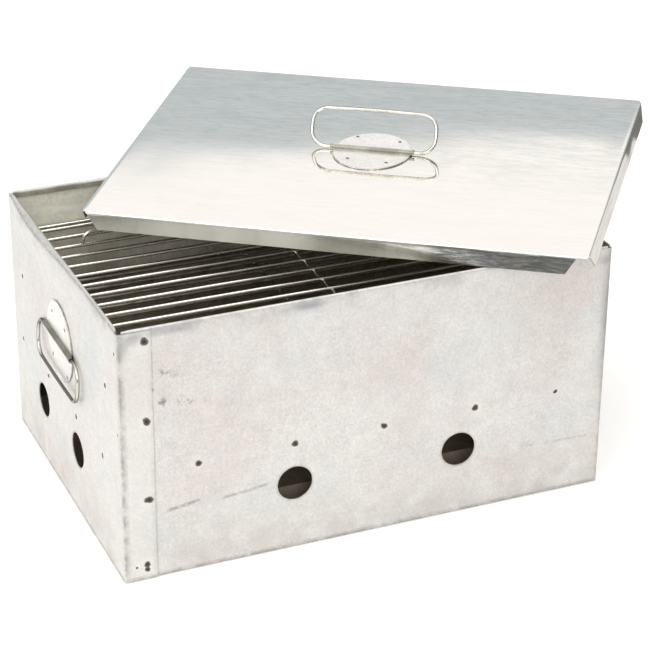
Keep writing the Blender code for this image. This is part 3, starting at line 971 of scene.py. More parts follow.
@dataclass(frozen=True)
class BrightLid(Finish):
    """Bright rolled sheet of the lid: long streaks, cloudy bloom, and a front flap darkened at its right
    end, partly heat-tarnished metal and partly a painted dark reflection; the flaps also carry painted
    shade and painted reflections.
    """

    base: Colour = srgb(245, 243, 239)
    streak: Colour = srgb(220, 225, 225)
    bloom: Colour = srgb(232, 229, 224)
    to_local: Matrix = field(default_factory=lambda: Matrix.Identity(4))
    half: tuple[float, float] = (HALF_X, HALF_Y)

    def dress(self, g: Coat) -> None:
        """Streaks, bloom, painted shade over the right flap, painted reflections on the front flap, and its
        dark end (heat-tarnished metal with a painted dark reflection).

        Args:
            g: the material's graph.
        """
        turn = self.to_local.to_euler("XYZ")
        local = g.placed(g.place, (1, 1, 1), tuple(turn), tuple(self.to_local.translation))
        x, y, _ = g.axes(local)
        brush = g.group(Effects.brushed(), Vector=local)
        cloud = g.noise(local, 24.0, 4.0, 0.6, 0.6)
        rear = g.spread(y, -0.075, 0.045, 0.18, 1.0)
        colour = g.mix(
            g.times(g.spread(brush.outputs["Broad"], 0.42, 0.66, 0.0, 0.55), rear), self.base, self.streak
        )
        colour = g.mix(g.times(g.spread(cloud, 0.52, 0.78, 0.0, 0.7), rear), colour, self.bloom)
        mottle = g.noise(g.placed(local, (60.0, 300.0, 300.0)), 1.0, 6.0, 0.75, 0.2)
        colour = g.mix(g.times(g.spread(mottle, 0.44, 0.66, 0.0, 0.50), rear), colour, srgb(206, 210, 209))
        turned = g.placed(local, (0.8, 0.8, 0.8), (1.2, 0.5, 0.9))
        scratch = g.group(Effects.scuffs(), Vector=turned, Amount=0.5).outputs[0]
        colour = g.mix(g.times(scratch, rear), colour, srgb(250, 250, 248))
        fine = g.times(g.swing(brush.outputs["Fine"], 0.22), rear)
        flat = g.plus(1.0, fine)
        colour = g.toned(colour, flat)
        # Front flap: its right end is darkened, partly heat-tarnished metal and partly a painted dark
        # reflection, with specks.
        flap = g.spread(g.times(y, -1.0), self.half[1] - 0.0004, self.half[1] + 0.0006)
        along = g.spread(x, 0.066, 0.092)
        speck = g.noise(g.placed(local, (90.0, 900.0, 900.0)), 1.0, 3.0, 0.7)
        tarnish_and_dark_reflection = g.times(g.times(flap, along), g.spread(speck, 0.70, 0.42, 0.35, 1.0))
        colour = g.mix(g.times(tarnish_and_dark_reflection, 0.85), colour, srgb(70, 73, 76))
        # Painted reflection on the rest of the front flap: a greenish-grey tone and grey bands where the
        # front wall shows in it.
        colour = g.mix(g.times(g.times(flap, 0.25), g.minus(1.0, along)), colour, srgb(190, 192, 178))
        span = g.math("ABSOLUTE", g.minus(x, 0.012))
        bands = g.spread(g.noise(g.placed(local, (38.0, 2.0, 2.0)), 1.0, 2.0, 0.5), 0.42, 0.62, 0.0, 0.15)
        bands = g.plus(bands, g.spread(span, 0.045, 0.010, 0.0, 0.42))
        colour = g.mix(g.times(flap, bands), colour, srgb(150, 150, 138))
        # Painted shade over the right flap, broken up by noise.
        right = g.spread(x, self.half[0] - 0.0004, self.half[0] + 0.0006)
        worn = g.spread(g.noise(g.placed(local, (90.0, 30.0, 300.0)), 1.0, 4.0, 0.65), 0.35, 0.7, 0.75, 1.0)
        colour = g.mix(g.times(right, worn), colour, srgb(166, 161, 152))
        pale = g.spread(g.math("ABSOLUTE", g.plus(x, 0.080)), 0.085, 0.040, 0.22, 0.40)
        metal = g.minus(1.0, g.times(g.times(flap, pale), g.minus(1.0, along)))
        g.feed("Metallic", metal)
        g.feed("Base Color", colour)
        rough = g.plus(self.roughness, g.swing(brush.outputs["Broad"], 0.03))
        rough = g.plus(rough, g.times(tarnish_and_dark_reflection, 0.12))
        g.feed("Roughness", g.plus(rough, g.spread(cloud, 0.5, 0.9, 0.0, 0.02), clamp=True))
        quiet = g.spread(y, -0.02, 0.07, 0.0, 0.22)
        self.raise_bump(g, g.times(brush.outputs["Fine"], quiet))


@dataclass(frozen=True)
class Tinned(Finish):
    """Bright tinned or chromed wire, dulled in patches."""

    base: Colour = srgb(236, 233, 226)
    dull: Colour = srgb(180, 172, 158)
    dulling: float = 0.4
    edge: float = 0.85

    def dress(self, g: Coat) -> None:
        """Patches of heat dulling, painted shade on the flanks and fine drawing marks.

        Args:
            g: the material's graph.
        """
        patch = g.noise(g.place, 45.0, 4.0, 0.65, 0.5)
        grain = g.noise(g.place, 900.0, 2.0)
        share = g.times(g.spread(patch, 0.45, 0.72), self.dulling)
        flank = g.node("ShaderNodeLayerWeight")
        flank.inputs["Blend"].default_value = 0.5
        colour = g.mix(share, self.base, self.dull)
        ray = g.node("ShaderNodeLightPath")
        mirrored = g.minus(1.0, g.times(ray.outputs["Is Glossy Ray"], 0.75))
        # Painted shade: the wire's flanks are darkened, less so in reflected rays.
        dark = g.times(g.spread(flank.outputs["Facing"], 0.20, 0.62, 0.0, self.edge), mirrored)
        colour = g.mix(dark, colour, srgb(62, 60, 52))
        g.feed("Base Color", colour)
        rough = g.plus(self.roughness, g.times(share, 0.3))
        g.feed("Roughness", g.plus(rough, g.times(grain, 0.08), clamp=True))
        self.raise_bump(g, grain)


@dataclass(frozen=True)
class Sooted(Finish):
    """Smoke- and fat-stained sheet of the trays and the bottom."""

    base: Colour = srgb(128, 121, 108)
    soot: Colour = srgb(52, 44, 36)
    level: float = 0.5

    def dress(self, g: Coat) -> None:
        """Zinc skin under a broken brown film with darker runs.

        Args:
            g: the material's graph.
        """
        skin = g.group(Effects.zinc_skin(), Vector=g.place, Base=self.base, Warm=self.base, Cool=self.base)
        veil = g.group(Effects.smoke_veil(), Vector=g.place, Level=self.level).outputs[0]
        burnt = g.noise(g.place, 70.0, 5.0, 0.7, 0.4)
        film = g.times(veil, g.spread(burnt, 0.30, 0.65, 0.65, 1.0), clamp=True)
        g.feed("Base Color", g.mix(film, skin.outputs["Color"], self.soot))
        rough = g.plus(self.roughness, g.times(film, 0.2))
        g.feed("Roughness", g.plus(rough, skin.outputs["Roughness"], clamp=True))
        self.raise_bump(g, g.plus(skin.outputs["Height"], burnt))


@dataclass(frozen=True)
class WeldBurn(Finish):
    """Burnt crater of a spot weld, paler towards its edge."""

    core: Colour = srgb(52, 47, 42)
    rim: Colour = srgb(96, 92, 86)
    skin: Colour = srgb(190, 186, 180)

    def dress(self, g: Coat) -> None:
        """Three tones by the distance from the crater's middle.

        Args:
            g: the material's graph.
        """
        away = g.mark("away")
        stir = g.swing(g.noise(g.place, 900.0, 3.0, 0.6), 0.5)
        far = g.plus(away, stir)
        colour = g.mix(g.spread(far, 0.25, 0.72), self.core, self.rim)
        colour = g.mix(g.spread(far, 0.74, 1.0), colour, self.skin)
        g.feed("Base Color", colour)
        self.raise_bump(g, g.noise(g.place, 1400.0, 2.0))


# ---- Shell ----
class Wall(Enum):
    """The four walls."""

    FRONT = "front"
    RIGHT = "right"
    BACK = "back"
    LEFT = "left"


@dataclass
class Weld:
    """One spot weld mark: wall, place along the wall (world x or y), height, radius and stretch."""

    wall: Wall
    along: float
    height: float
    radius: float
    stretch: float = 1.0
    turn: float = 0.0


@dataclass
class ShellSheet:
    """One of the two folded sheets: a long wall, a short wall and a lap flange, with a rolled rim.

    The first sheet makes the front and right walls; the second is the same turned by half a turn.
    """

    name: str
    flip: int
    half_x: float = HALF_X
    half_y: float = HALF_Y
    height: float = RIM_Z
    sheet: float = SHEET
    gap: float = GAP
    corner: float = 0.0020
    lap: float = 0.0255
    rim: float = 0.0035
    rim_depth: float = 0.0055
    rim_end: float = 0.0040
    foot: float = 0.0005
    hole_d: float = 0.0280
    hole_z: float = 0.0560
    hole_long: tuple[float, float] = (-0.063, 0.074)
    hole_short: tuple[float, float] = (0.061, -0.028)
    cell: float = 0.020

    def plan(self) -> tuple[Array, Array, Array]:
        """Stations along the sheet.

        Returns:
            Length along the outer face, (x, y) there, and the outward direction there.
        """
        hx, hy, r = self.half_x, self.half_y, self.corner
        lap_y = hy + self.gap + self.sheet
        f = self.flip
        free = -hx + self.sheet + 2 * self.gap
        long_holes = sorted(f * x for x in self.hole_long)
        short_holes = sorted(f * y for y in self.hole_short)
        marks = [free, -hx + self.rim_end]
        marks += [c for h in long_holes for c in (h - self.cell, h + self.cell)]
        marks += [hx - self.rim_end, hx - r]
        x_run = self._uneven(marks, long_holes)
        marks = [-hy + r, -hy + self.rim_end]
        marks += [c for h in short_holes for c in (h - self.cell, h + self.cell)]
        marks += [hy - self.rim_end, lap_y - r]
        y_run = self._uneven(marks, short_holes)
        turn = arc_angles(-90, 0, 5)[1:-1]
        turn_2 = arc_angles(0, 90, 5)[1:-1]
        lap_run = steps(0.0, self.lap - r, pitch=0.004)
        legs = (
            (row(x_run, -hy), row(0.0 * x_run, -1.0)),
            (row(hx - r + r * np.cos(turn), -hy + r + r * np.sin(turn)), row(np.cos(turn), np.sin(turn))),
            (row(hx, y_run), row(1.0, 0.0 * y_run)),
            (
                row(hx - r + r * np.cos(turn_2), lap_y - r + r * np.sin(turn_2)),
                row(np.cos(turn_2), np.sin(turn_2)),
            ),
            (row(hx - r - lap_run, lap_y), row(0.0 * lap_run, 1.0)),
        )
        xy, out = (np.concatenate(part) for part in zip(*legs))
        length = np.concatenate([[0.0], np.cumsum(np.linalg.norm(np.diff(xy, axis=0), axis=1))])
        return length, xy, out

    def _uneven(self, marks: Sequence[float], holes: Sequence[float]) -> Array:
        """Stations with a 2 mm pitch beside the air holes and 4 mm elsewhere.

        Args:
            marks: rising places that have to be stations.
            holes: centres of the air holes on this wall.

        Returns:
            The stations.
        """
        runs = []
        for low, high in zip(marks[:-1], marks[1:]):
            fine = any(abs((low + high) / 2 - h) < self.cell * 0.5 for h in holes)
            count = max(1, int(round((high - low) / (0.002 if fine else 0.004))))
            runs.append(np.linspace(low, high, count, endpoint=False))
        return np.concatenate(runs + [np.array([marks[-1]])])

    def section(self) -> tuple[Array, Array]:
        """Height and inward distance along the wall's section, up the wall and over the rolled rim.

        Returns:
            Heights and inward distances.
        """
        r = self.rim / 2
        top = self.height - r
        low, high = self.hole_z - self.cell, self.hole_z + self.cell
        z = np.concatenate(
            [
                steps(self.foot, low, pitch=0.004)[:-1],
                steps(low, high, pitch=0.002)[:-1],
                steps(high, 0.164, top, pitch=0.0036),
            ]
        )
        turn = arc_angles(180, 0, 10)[1:]
        down = np.linspace(top, self.height - self.rim_depth, 4)[1:]
        heights = np.concatenate([z, top + r * np.sin(turn), down])
        inward = np.concatenate([np.zeros_like(z), r + r * np.cos(turn), np.full_like(down, 2 * r)])
        return heights, inward

    def bow(self, x: Array, y: Array, z: Array) -> Array:
        """How far the left wall's rim has spread outwards: a bell along the wall that fades downwards."""
        bell = np.exp(-(((y - 0.056) / 0.062) ** 2)) * smooth(y, 0.136, 0.108) * smooth(y, -0.136, -0.100)
        return 0.0044 * bell * smooth(z, 0.168, 0.206) ** 1.5 * (x < -self.half_x + 0.004)

    def wave(self, on_long: Array, along: Array, z: Array) -> Array:
        """Slow ripple of a wall, held to zero at its edges and beside the handle plate.

        Args:
            on_long: whether each point is on a long wall.
            along: place along the wall.
            z: heights.

        Returns:
            How far the wall stands out.
        """
        half = np.where(on_long, self.half_x, self.half_y)
        hold = smooth(half - np.abs(along), 0.006, 0.045) * smooth(z, 0.004, 0.045) * smooth(
            z, 0.205, 0.165
        )
        hold = hold * np.where(on_long, 1.0, smooth(np.hypot(along - HANDLE_Y, z - HANDLE_Z), 0.050, 0.085))
        return ripple(along, z, 1.3 + self.flip + 2.0 * on_long, 0.19) * 0.00045 * hold

    def shape(self, base: Array, out: Array, z: Array, inward: Array) -> Array:
        """Points of the sheet from its plan, height and inward distance, in the row frame.

        Formula: p = plan + out * (bow * (1 - inward / rim) + dent - inward), where dent is a slow ripple
        held to zero at the edges, beside the handle plates and at the corners.  The rolled rim is pressed
        flat towards its ends.

        Args:
            base: places on the outer face.
            out: outward directions there.
            z: heights.
            inward: distances in from the outer face.

        Returns:
            The points.
        """
        xy, outward = base * self.flip, out * self.flip
        x, y = xy[..., 0], xy[..., 1]
        from_end = np.where(
            np.abs(outward[..., 1]) > 0.99, self.half_x - np.abs(x), self.half_y - np.abs(y)
        )
        inward = inward * (0.52 + 0.48 * smooth(from_end, self.rim_end, 0.011))
        bow = self.bow(x, y, z) * (1 - inward / self.rim)
        on_long = np.abs(outward[..., 1]) > 0.99
        along = np.where(on_long, x, y)
        wave = self.wave(on_long, along, z)
        near = np.full(x.shape, 9.0)
        for hole in self.hole_long:
            near = np.where(on_long, np.minimum(near, np.hypot(along - hole, z - self.hole_z)), near)
        for hole in self.hole_short:
            near = np.where(on_long, near, np.minimum(near, np.hypot(along - hole, z - self.hole_z)))
        punched = -0.00045 * smooth(near, self.hole_d / 2 + 0.0022, self.hole_d / 2 - 0.0003)
        push = bow + wave + punched - inward
        return row(x + outward[..., 0] * push, y + outward[..., 1] * push, z)

    def build(self, welds: Sequence[Weld], finishes: Sequence[Material]) -> Object:
        """The whole sheet as one closed piece.

        Args:
            welds: the weld marks.
            finishes: the materials, in slot order.

        Returns:
            The closed piece.
        """
        length, xy, out = self.plan()
        z, inward = self.section()
        cols, rows = len(length), len(z)
        base = np.repeat(xy[:, None], rows, 1)
        outward = np.repeat(out[:, None], rows, 1)
        heights, insides = np.tile(z, (cols, 1)), np.tile(inward, (cols, 1))
        points = self.shape(base, outward, heights, insides)
        f, hx, hy = self.flip, self.half_x, self.half_y
        mid = (xy[1:] + xy[:-1]) / 2
        flat_out = (out[1:] + out[:-1]) / 2
        long_wall, short_wall = flat_out[:, 1] < -0.99, flat_out[:, 0] > 0.99
        rim_here = (long_wall & (np.abs(mid[:, 0]) < hx - self.rim_end)) | (
            short_wall & (np.abs(mid[:, 1]) < hy - self.rim_end)
        )
        top = self.height - self.rim / 2
        wall_rows = int(np.sum(z[: np.argmax(inward > 0)] <= top + 1e-9))
        cell_row = np.arange(rows - 1)
        keep = (cell_row[None] < wall_rows - 1) | rim_here[:, None]
        mid_z = (z[1:] + z[:-1]) / 2
        parts = []
        places = [(long_wall, 0, f * h) for h in self.hole_long] + [
            (short_wall, 1, f * h) for h in self.hole_short
        ]
        for wall, axis, centre in places:
            inside = (
                wall[:, None]
                & (np.abs(mid[:, axis] - centre) < self.cell)[:, None]
                & (np.abs(mid_z - self.hole_z) < self.cell)[None]
                & (cell_row < wall_rows)[None]
            )
            keep &= ~inside
            parts.append(self._hole_patch(centre, axis))
        tucked = smooth(insides, 0.0022, 0.0033) * (heights > 0.19)
        lap = np.repeat((xy[:, 1] > hy + 1e-5)[:, None], rows, 1) * 1.0
        sheet = Surface.grid(points, keep=keep, marks={"tucked": tucked, "lap": lap})
        surface = Surface.joined([sheet] + parts)
        self._paint(surface, welds)
        obj = surface.to_object(self.name, finishes, closed=False)
        return give_thickness(obj, self.sheet, inside=1)

    def _hole_patch(self, centre: float, axis: int) -> Surface:
        """Ring of quads between a round hole and the square cell around it.

        Formula: at each of 80 directions the point runs from the circle to the square's border.

        Args:
            centre: place of the hole along the wall.
            axis: 0 on the long wall, 1 on the short one.

        Returns:
            The ring.
        """
        count, rings = 80, 7
        side = np.linspace(-self.cell, self.cell, count // 4, endpoint=False)
        edge = np.full_like(side, self.cell)
        border = np.concatenate([row(edge, side), row(-side, edge), row(-edge, -side), row(side, -edge)])
        angle = np.arctan2(border[:, 1], border[:, 0])
        circle = row(np.cos(angle), np.sin(angle)) * (self.hole_d / 2)
        share = np.linspace(0, 1, rings)[:, None, None] ** 1.3
        flat = circle[None] * (1 - share) + border[None] * share
        z = self.hole_z + flat[..., 1]
        along = centre + flat[..., 0]
        if axis == 0:
            base = row(along, -self.half_y)
            out = np.tile([0.0, -1.0], along.shape + (1,))
        else:
            base = row(self.half_x, along)
            out = np.tile([1.0, 0.0], along.shape + (1,))
        points = self.shape(base, out, z, np.zeros_like(z))
        return Surface.grid(points, wrap=(False, True))

    def _paint(self, surface: Surface, welds: Sequence[Weld]) -> None:
        """Name the values that the finish reads: halo beside the welds, smudge marks with painted corner
        shade, and wear with painted shade along edges and seams.

        Args:
            surface: the sheet, whose named values are filled in.
            welds: the weld marks.
        """
        p = surface.points
        halo = np.zeros(len(p))
        for weld in welds:
            c = weld_centre(weld)
            away = np.linalg.norm(p - c, axis=1)
            halo = np.maximum(halo, np.exp(-((away / (weld.radius * 2.0)) ** 2)))
        # Dark patches: smudge marks under the rim near the front corners, and a tall patch down the right
        # front corner that is painted shade.
        smudge_and_shade_spots = (
            (-0.188, -0.139, 0.202, 0.009, 0.0045),
            (-0.196, -0.139, 0.197, 0.003, 0.009),
            (-0.160, -0.138, 0.204, 0.016, 0.003),
            (-0.052, -0.138, 0.203, 0.014, 0.003),
            (0.196, -0.138, 0.197, 0.006, 0.004),
            (0.199, -0.138, 0.150, 0.005, 0.06),
        )
        haze = np.zeros(len(p))
        for x, y, z, wide, tall in smudge_and_shade_spots:
            away = ((p[:, 0] - x) / wide) ** 2 + ((p[:, 2] - z) / tall) ** 2 + ((p[:, 1] - y) / 0.006) ** 2
            haze = np.maximum(haze, np.exp(-away))
        # Painted shade along the vertical corners; a dark line along the bottom edge, and another along the
        # short walls' rim top.
        corner = np.hypot(np.abs(p[:, 0]) - self.half_x + 0.0012, np.abs(p[:, 1]) - self.half_y - 0.0011)
        worn = np.maximum(np.exp(-((corner / 0.0016) ** 2)), np.exp(-((p[:, 2] / 0.0020) ** 2)))
        brow = (np.abs(p[:, 0]) > self.half_x - 0.0008) * np.exp(-(((p[:, 2] - 0.2070) / 0.0009) ** 2))
        worn = np.maximum(worn, 0.75 * brow)
        # Painted shadow beside the lap flange's free edge.
        lap_edge = np.hypot(np.abs(p[:, 0]) - LAP_EDGE, (np.abs(p[:, 1]) - 0.1390) * 3)
        worn = np.maximum(worn, 0.3 * np.exp(-((lap_edge / 0.0012) ** 2)))
        for wall, places in ((1, self.hole_long), (0, self.hole_short)):
            for place in places:
                ring = np.hypot(p[:, 1 - wall] - place, p[:, 2] - self.hole_z) - self.hole_d / 2
                on_wall = np.abs(np.abs(p[:, wall]) - (self.half_y if wall else self.half_x)) < 0.003
                worn = np.maximum(worn, np.exp(-((ring / 0.0009) ** 2)) * on_wall)
        surface.marks["halo"], surface.marks["haze"], surface.marks["worn"] = halo, haze, worn


# Each wall: a point on its outer face, the direction along it and the direction out of it.
WALL_FACE = {
    Wall.FRONT: (Vector((0, -HALF_Y, 0)), Vector((1, 0, 0)), Vector((0, -1, 0))),
    Wall.RIGHT: (Vector((HALF_X, 0, 0)), Vector((0, 1, 0)), Vector((1, 0, 0))),
    Wall.BACK: (Vector((0, HALF_Y, 0)), Vector((1, 0, 0)), Vector((0, 1, 0))),
    Wall.LEFT: (Vector((-HALF_X, 0, 0)), Vector((0, 1, 0)), Vector((-1, 0, 0))),
}


def weld_centre(weld: Weld) -> Array:
    """Where a weld mark sits on the outer face.

    Args:
        weld: the mark.

    Returns:
        The point.
    """
    origin, along, out = WALL_FACE[weld.wall]
    on_long = weld.wall in (Wall.FRONT, Wall.BACK)
    if on_long and abs(weld.along) > LAP_EDGE and weld.along * out.y > 0:
        push = 0.0011
    else:
        sheet = ShellSheet("", 1 if weld.wall in (Wall.FRONT, Wall.RIGHT) else -1)
        push = float(sheet.wave(np.array(on_long), np.array(weld.along), np.array(weld.height)))
    return np.array(origin + along * weld.along + out * push + Vector((0, 0, weld.height)))


def crater(
    centre: Array, along: Array, out: Array, radius: float, stretch: float, turn: float, seed: int
) -> Surface:
    """The dished, uneven mark of one spot weld.

    Formula: on rings at share s of an uneven outline the height above the sheet is
    0.03 mm + 0.10 mm * exp(-((s - 0.72) / 0.16)^2), so a low ring stands round a dished middle.

    Args:
        centre: centre of the mark.
        along: direction along the wall.
        out: direction out of the wall.
        radius: radius of the bend or mark.
        stretch: length over width of the mark, rooted.
        turn: turn of the outline in radians.
        seed: start of the random draws.

    Returns:
        The mark, open underneath.
    """
    rng = np.random.default_rng(seed)
    angle = np.linspace(0, 2 * math.pi, 28, endpoint=False)
    outline = 1 + 0.10 * np.sin(angle * 2 + rng.uniform(0, 6)) + 0.06 * np.sin(
        angle * 3 + rng.uniform(0, 6)
    )
    outline = outline + 0.04 * np.sin(angle * 5 + rng.uniform(0, 6))
    share = np.array([0.02, 0.25, 0.45, 0.62, 0.76, 0.88, 1.0])
    u = share[:, None] * outline * np.cos(angle) * stretch
    v = share[:, None] * outline * np.sin(angle) / stretch
    c, s = math.cos(turn), math.sin(turn)
    u, v = u * c - v * s, u * s + v * c
    lift = (0.00003 + 0.00010 * np.exp(-(((share - 0.72) / 0.16) ** 2)))[:, None] + 0 * u
    up = np.cross(out, along)
    flat = (u * radius)[..., None] * along + (v * radius)[..., None] * up
    points = centre + flat + lift[..., None] * out
    ring = Surface.grid(points, wrap=(False, True), marks={"away": share[:, None] + 0 * u})
    middle = Surface(
        np.concatenate([points[0], centre[None] + out * 0.00003]),
        np.zeros((0, 4), int),
        row(28, np.arange(28), (np.arange(28) + 1) % 28),
        marks={"away": np.zeros(29)},
    )
    return Surface.joined([ring, middle])


# ---- Inside parts ----
@dataclass
class InnerSheets:
    """Bottom pan, ledges and brackets."""

    half_x: float = HALF_X
    half_y: float = HALF_Y
    sheet: float = SHEET
    gap: float = GAP
    ledge_z: float = 0.098
    ledge_drop: float = 0.018
    ledge_out: float = 0.024
    bracket_w: float = 0.024
    bracket_top: float = 0.1722
    bracket_low: float = 0.1219
    leg_up: float = 0.008
    leg_low: float = 0.016

    def pan(
        self, name: str, half: tuple[float, float], height: float, base: float, flare: float,
        finishes: Sequence[Material],
    ) -> Object:
        """A folded pan with rounded corners.

        Formula: each ring is a rounded rectangle; its inset and height follow a section that runs from
        the rim down the leaning wall, round the bend and across the floor to the middle.

        Args:
            name: the piece's name.
            half: half the length and half the width at the rim, outside.
            height: rim height above the pan's base.
            base: height of the underside.
            flare: how far the floor's edge stands in from the rim.
            finishes: its materials.
        Returns:
            The closed piece.
        """
        bend, corner = 0.0022, 0.005
        turn = arc_angles(0, 90, 6)[1:]
        fall = np.linspace(0.0, 1.0, 7)
        floor = steps(flare + bend, 0.012, min(half) - 0.014, pitch=0.011)[1:]
        inset = np.concatenate([flare * fall, flare + bend * (1 - np.cos(turn)), floor])
        level = np.concatenate(
            [height + (bend - height) * fall, bend * (1 - np.sin(turn)), np.zeros(len(floor))]
        )
        quarter_turn = arc_angles(0, 90, 6)
        rings = []
        for d in inset:
            r = max(corner - d * 0.3, 0.0015)
            hx, hy = half[0] - d, half[1] - d
            first = row(hx - r + r * np.cos(quarter_turn), hy - r + r * np.sin(quarter_turn))
            second = first[::-1] * [-1, 1]
            back = row(np.linspace(hx - r, r - hx, 40)[1:-1], hy)
            side = row(-hx, np.linspace(hy - r, r - hy, 28)[1:-1])
            half_ring = np.concatenate([first, back, second, side])
            rings.append(np.concatenate([half_ring, -half_ring]))
        ring = np.stack(rings)
        z = np.broadcast_to((level + base)[:, None, None], ring.shape[:2] + (1,))
        points = np.concatenate([ring, z], -1)
        floor_share = smooth(inset, 0.006, 0.030)[:, None]
        wave = ripple(points[..., 0], points[..., 1], base * 40 + 1, 0.17)
        points[..., 2] += (1 + wave) * 0.0003 * floor_share
        count, middle = points.shape[1], points[-1].mean(0)
        cap = Surface(
            np.concatenate([points[-1], middle[None]]),
            np.zeros((0, 4), int),
            row(np.full(count, count), (np.arange(count) + 1) % count, np.arange(count)),
        )
        surface = Surface.joined([Surface.grid(points, wrap=(False, True)), cap])
        return give_thickness(surface.to_object(name, finishes, closed=False), self.sheet)

    def ledge(self, name: str, wall: Wall, finishes: Sequence[Material]) -> Object:
        """One bent angle strip below the drip tray.

        Args:
            name: the piece's name.
            wall: the wall it is on.
            finishes: the materials, in slot order.

        Returns:
            The closed piece.
        """
        inset = self.sheet + self.gap
        long_half = self.half_x - inset - self.ledge_out - 0.004
        short_half = self.half_y - inset - 0.001
        section = folded(
            [(0, self.ledge_z - self.ledge_drop), (0, self.ledge_z), (self.ledge_out, self.ledge_z)], 0.0018
        )
        run = {
            Wall.FRONT: ((-long_half, -self.half_y + inset, 0), (0, 1, 0), (1, 0, 0), 2 * long_half),
            Wall.BACK: ((long_half, self.half_y - inset, 0), (0, -1, 0), (-1, 0, 0), 2 * long_half),
            Wall.LEFT: ((-self.half_x + inset, short_half, 0), (1, 0, 0), (0, -1, 0), 2 * short_half),
            Wall.RIGHT: ((self.half_x - inset, -short_half, 0), (-1, 0, 0), (0, 1, 0), 2 * short_half),
        }[wall]
        origin, inward, along, length = run
        surface = bent_strip(section, origin, (inward, (0, 0, 1), along), length, 0.012)
        obj = surface.to_object(name, finishes, closed=False)
        return give_thickness(obj, self.sheet)

    def bracket(self, name: str, side: int, y: float, finishes: Sequence[Material]) -> Object:
        """One channel-shaped bracket with a short upper and a longer lower leg.

        Args:
            name: the piece's name.
            side: -1 on the left wall, 1 on the right one.
            y: place along y.
            finishes: the materials, in slot order.

        Returns:
            The closed piece.
        """
        wall_x = self.half_x - self.sheet - self.gap
        section = folded(
            [
                (self.leg_low, self.bracket_low),
                (0, self.bracket_low),
                (0, self.bracket_top),
                (self.leg_up, self.bracket_top),
            ],
            0.0016,
        )
        start = y - self.bracket_w / 2 * side
        surface = bent_strip(
            section,
            (side * wall_x, start, 0),
            ((-side, 0, 0), (0, 0, 1), (0, side, 0)),
            self.bracket_w,
            0.006,
        )
        obj = surface.to_object(name, finishes, closed=False)
        return give_thickness(obj, self.sheet)


@dataclass
class WireRack:
    """Rods along x on three cross wires, with a weld nugget at each crossing."""

    name: str
    z: float
    half_x: float
    half_y: float = 0.1325
    rod: float = 0.0015
    first: float = -0.1155  # first inner rod from the front
    pitch: float = 0.0185
    end_in: float = 0.0083
    seed: int = 3

    def rows(self) -> Array:
        """Rod positions from front to back."""
        return np.concatenate([[-self.half_y], self.first + self.pitch * np.arange(14), [self.half_y]])

    def build(self, finish: Material) -> Object:
        """The whole rack as one piece.

        Args:
            finish: the material.

        Returns:
            The piece.
        """
        rng = np.random.default_rng(self.seed)
        parts = []
        run = np.linspace(-self.half_x + self.rod, self.half_x - self.rod, 41)
        for y in self.rows():
            edge = abs(y) > 0.13
            bend = 0.0 if edge else rng.uniform(-0.0006, 0.0006)
            sway = bend * np.cos(run / self.half_x * math.pi / 2 + rng.uniform(-0.4, 0.4))
            path = row(run, y + sway, self.z)
            parts.append(wire(path, self.rod, (0, 0, 1), sides=12))
        low = self.z - 2 * self.rod + 0.0003
        ends = self.half_x - self.end_in
        across = np.linspace(-self.half_y - 0.0004 + self.rod, self.half_y + 0.0004 - self.rod, 25)
        for x in (-ends, 0.0, ends):
            path = row(x, across, low)
            parts.append(wire(path, self.rod, (0, 0, 1), sides=12))
            parts += [self._nugget(x, y, (self.z + low) / 2, rng) for y in self.rows()]
        obj = Surface.joined(parts).to_object(self.name, [finish], closed=True)
        return settle(obj)

    def _nugget(self, x: float, y: float, z: float, rng: np.random.Generator) -> Surface:
        """Small flattened bead where two wires are welded: an ellipsoid of rings.

        Args:
            x: place along x.
            y: place along y.
            z: heights.
            rng: the random draws.

        Returns:
            The bead.
        """
        u = np.linspace(0, 2 * math.pi, 10, endpoint=False)
        v = np.linspace(0.0, math.pi, 7)
        size = np.array([0.00165, 0.00165, 0.0012]) * rng.uniform(0.9, 1.06, 3)
        unit = np.stack(
            [np.sin(v)[:, None] * np.cos(u), np.sin(v)[:, None] * np.sin(u), np.cos(v)[:, None] + 0 * u], -1
        )
        return Surface.grid(unit * size + np.array([x, y, z]), wrap=(False, True))


@dataclass
class RackBow:
    """Low wire bow that the upper rack is lifted by."""

    name: str
    x: float
    y: float
    rack_z: float = RACK_Z
    half: float = 0.052
    rise: float = 0.0105
    radius: float = 0.0014
    corner: float = 0.0075

    def build(self, finish: Material) -> Object:
        """Up, round, across, round and down, with feet spread on the rod.

        Args:
            finish: the material.

        Returns:
            The piece.
        """
        foot, top, c = self.rack_z + 0.0015 + 0.0003, self.rack_z + self.rise, self.corner
        left, right = self.x - self.half, self.x + self.half
        a, b = arc_angles(180, 90, 8), arc_angles(90, 0, 8)
        path = np.concatenate(
            [
                [[left - 0.0002, foot + 0.0008]],
                row(left + c + c * np.cos(a), top - c + c * np.sin(a)),
                row(np.linspace(left + c, right - c, 16)[1:-1], top),
                row(right - c + c * np.cos(b), top - c + c * np.sin(b)),
                [[right + 0.0002, foot + 0.0008]],
            ]
        )
        line = row(path[:, 0], self.y, path[:, 1])
        return settle(
            wire(line, self.radius, (0, 1, 0), sides=12).to_object(self.name, [finish], closed=True)
        )


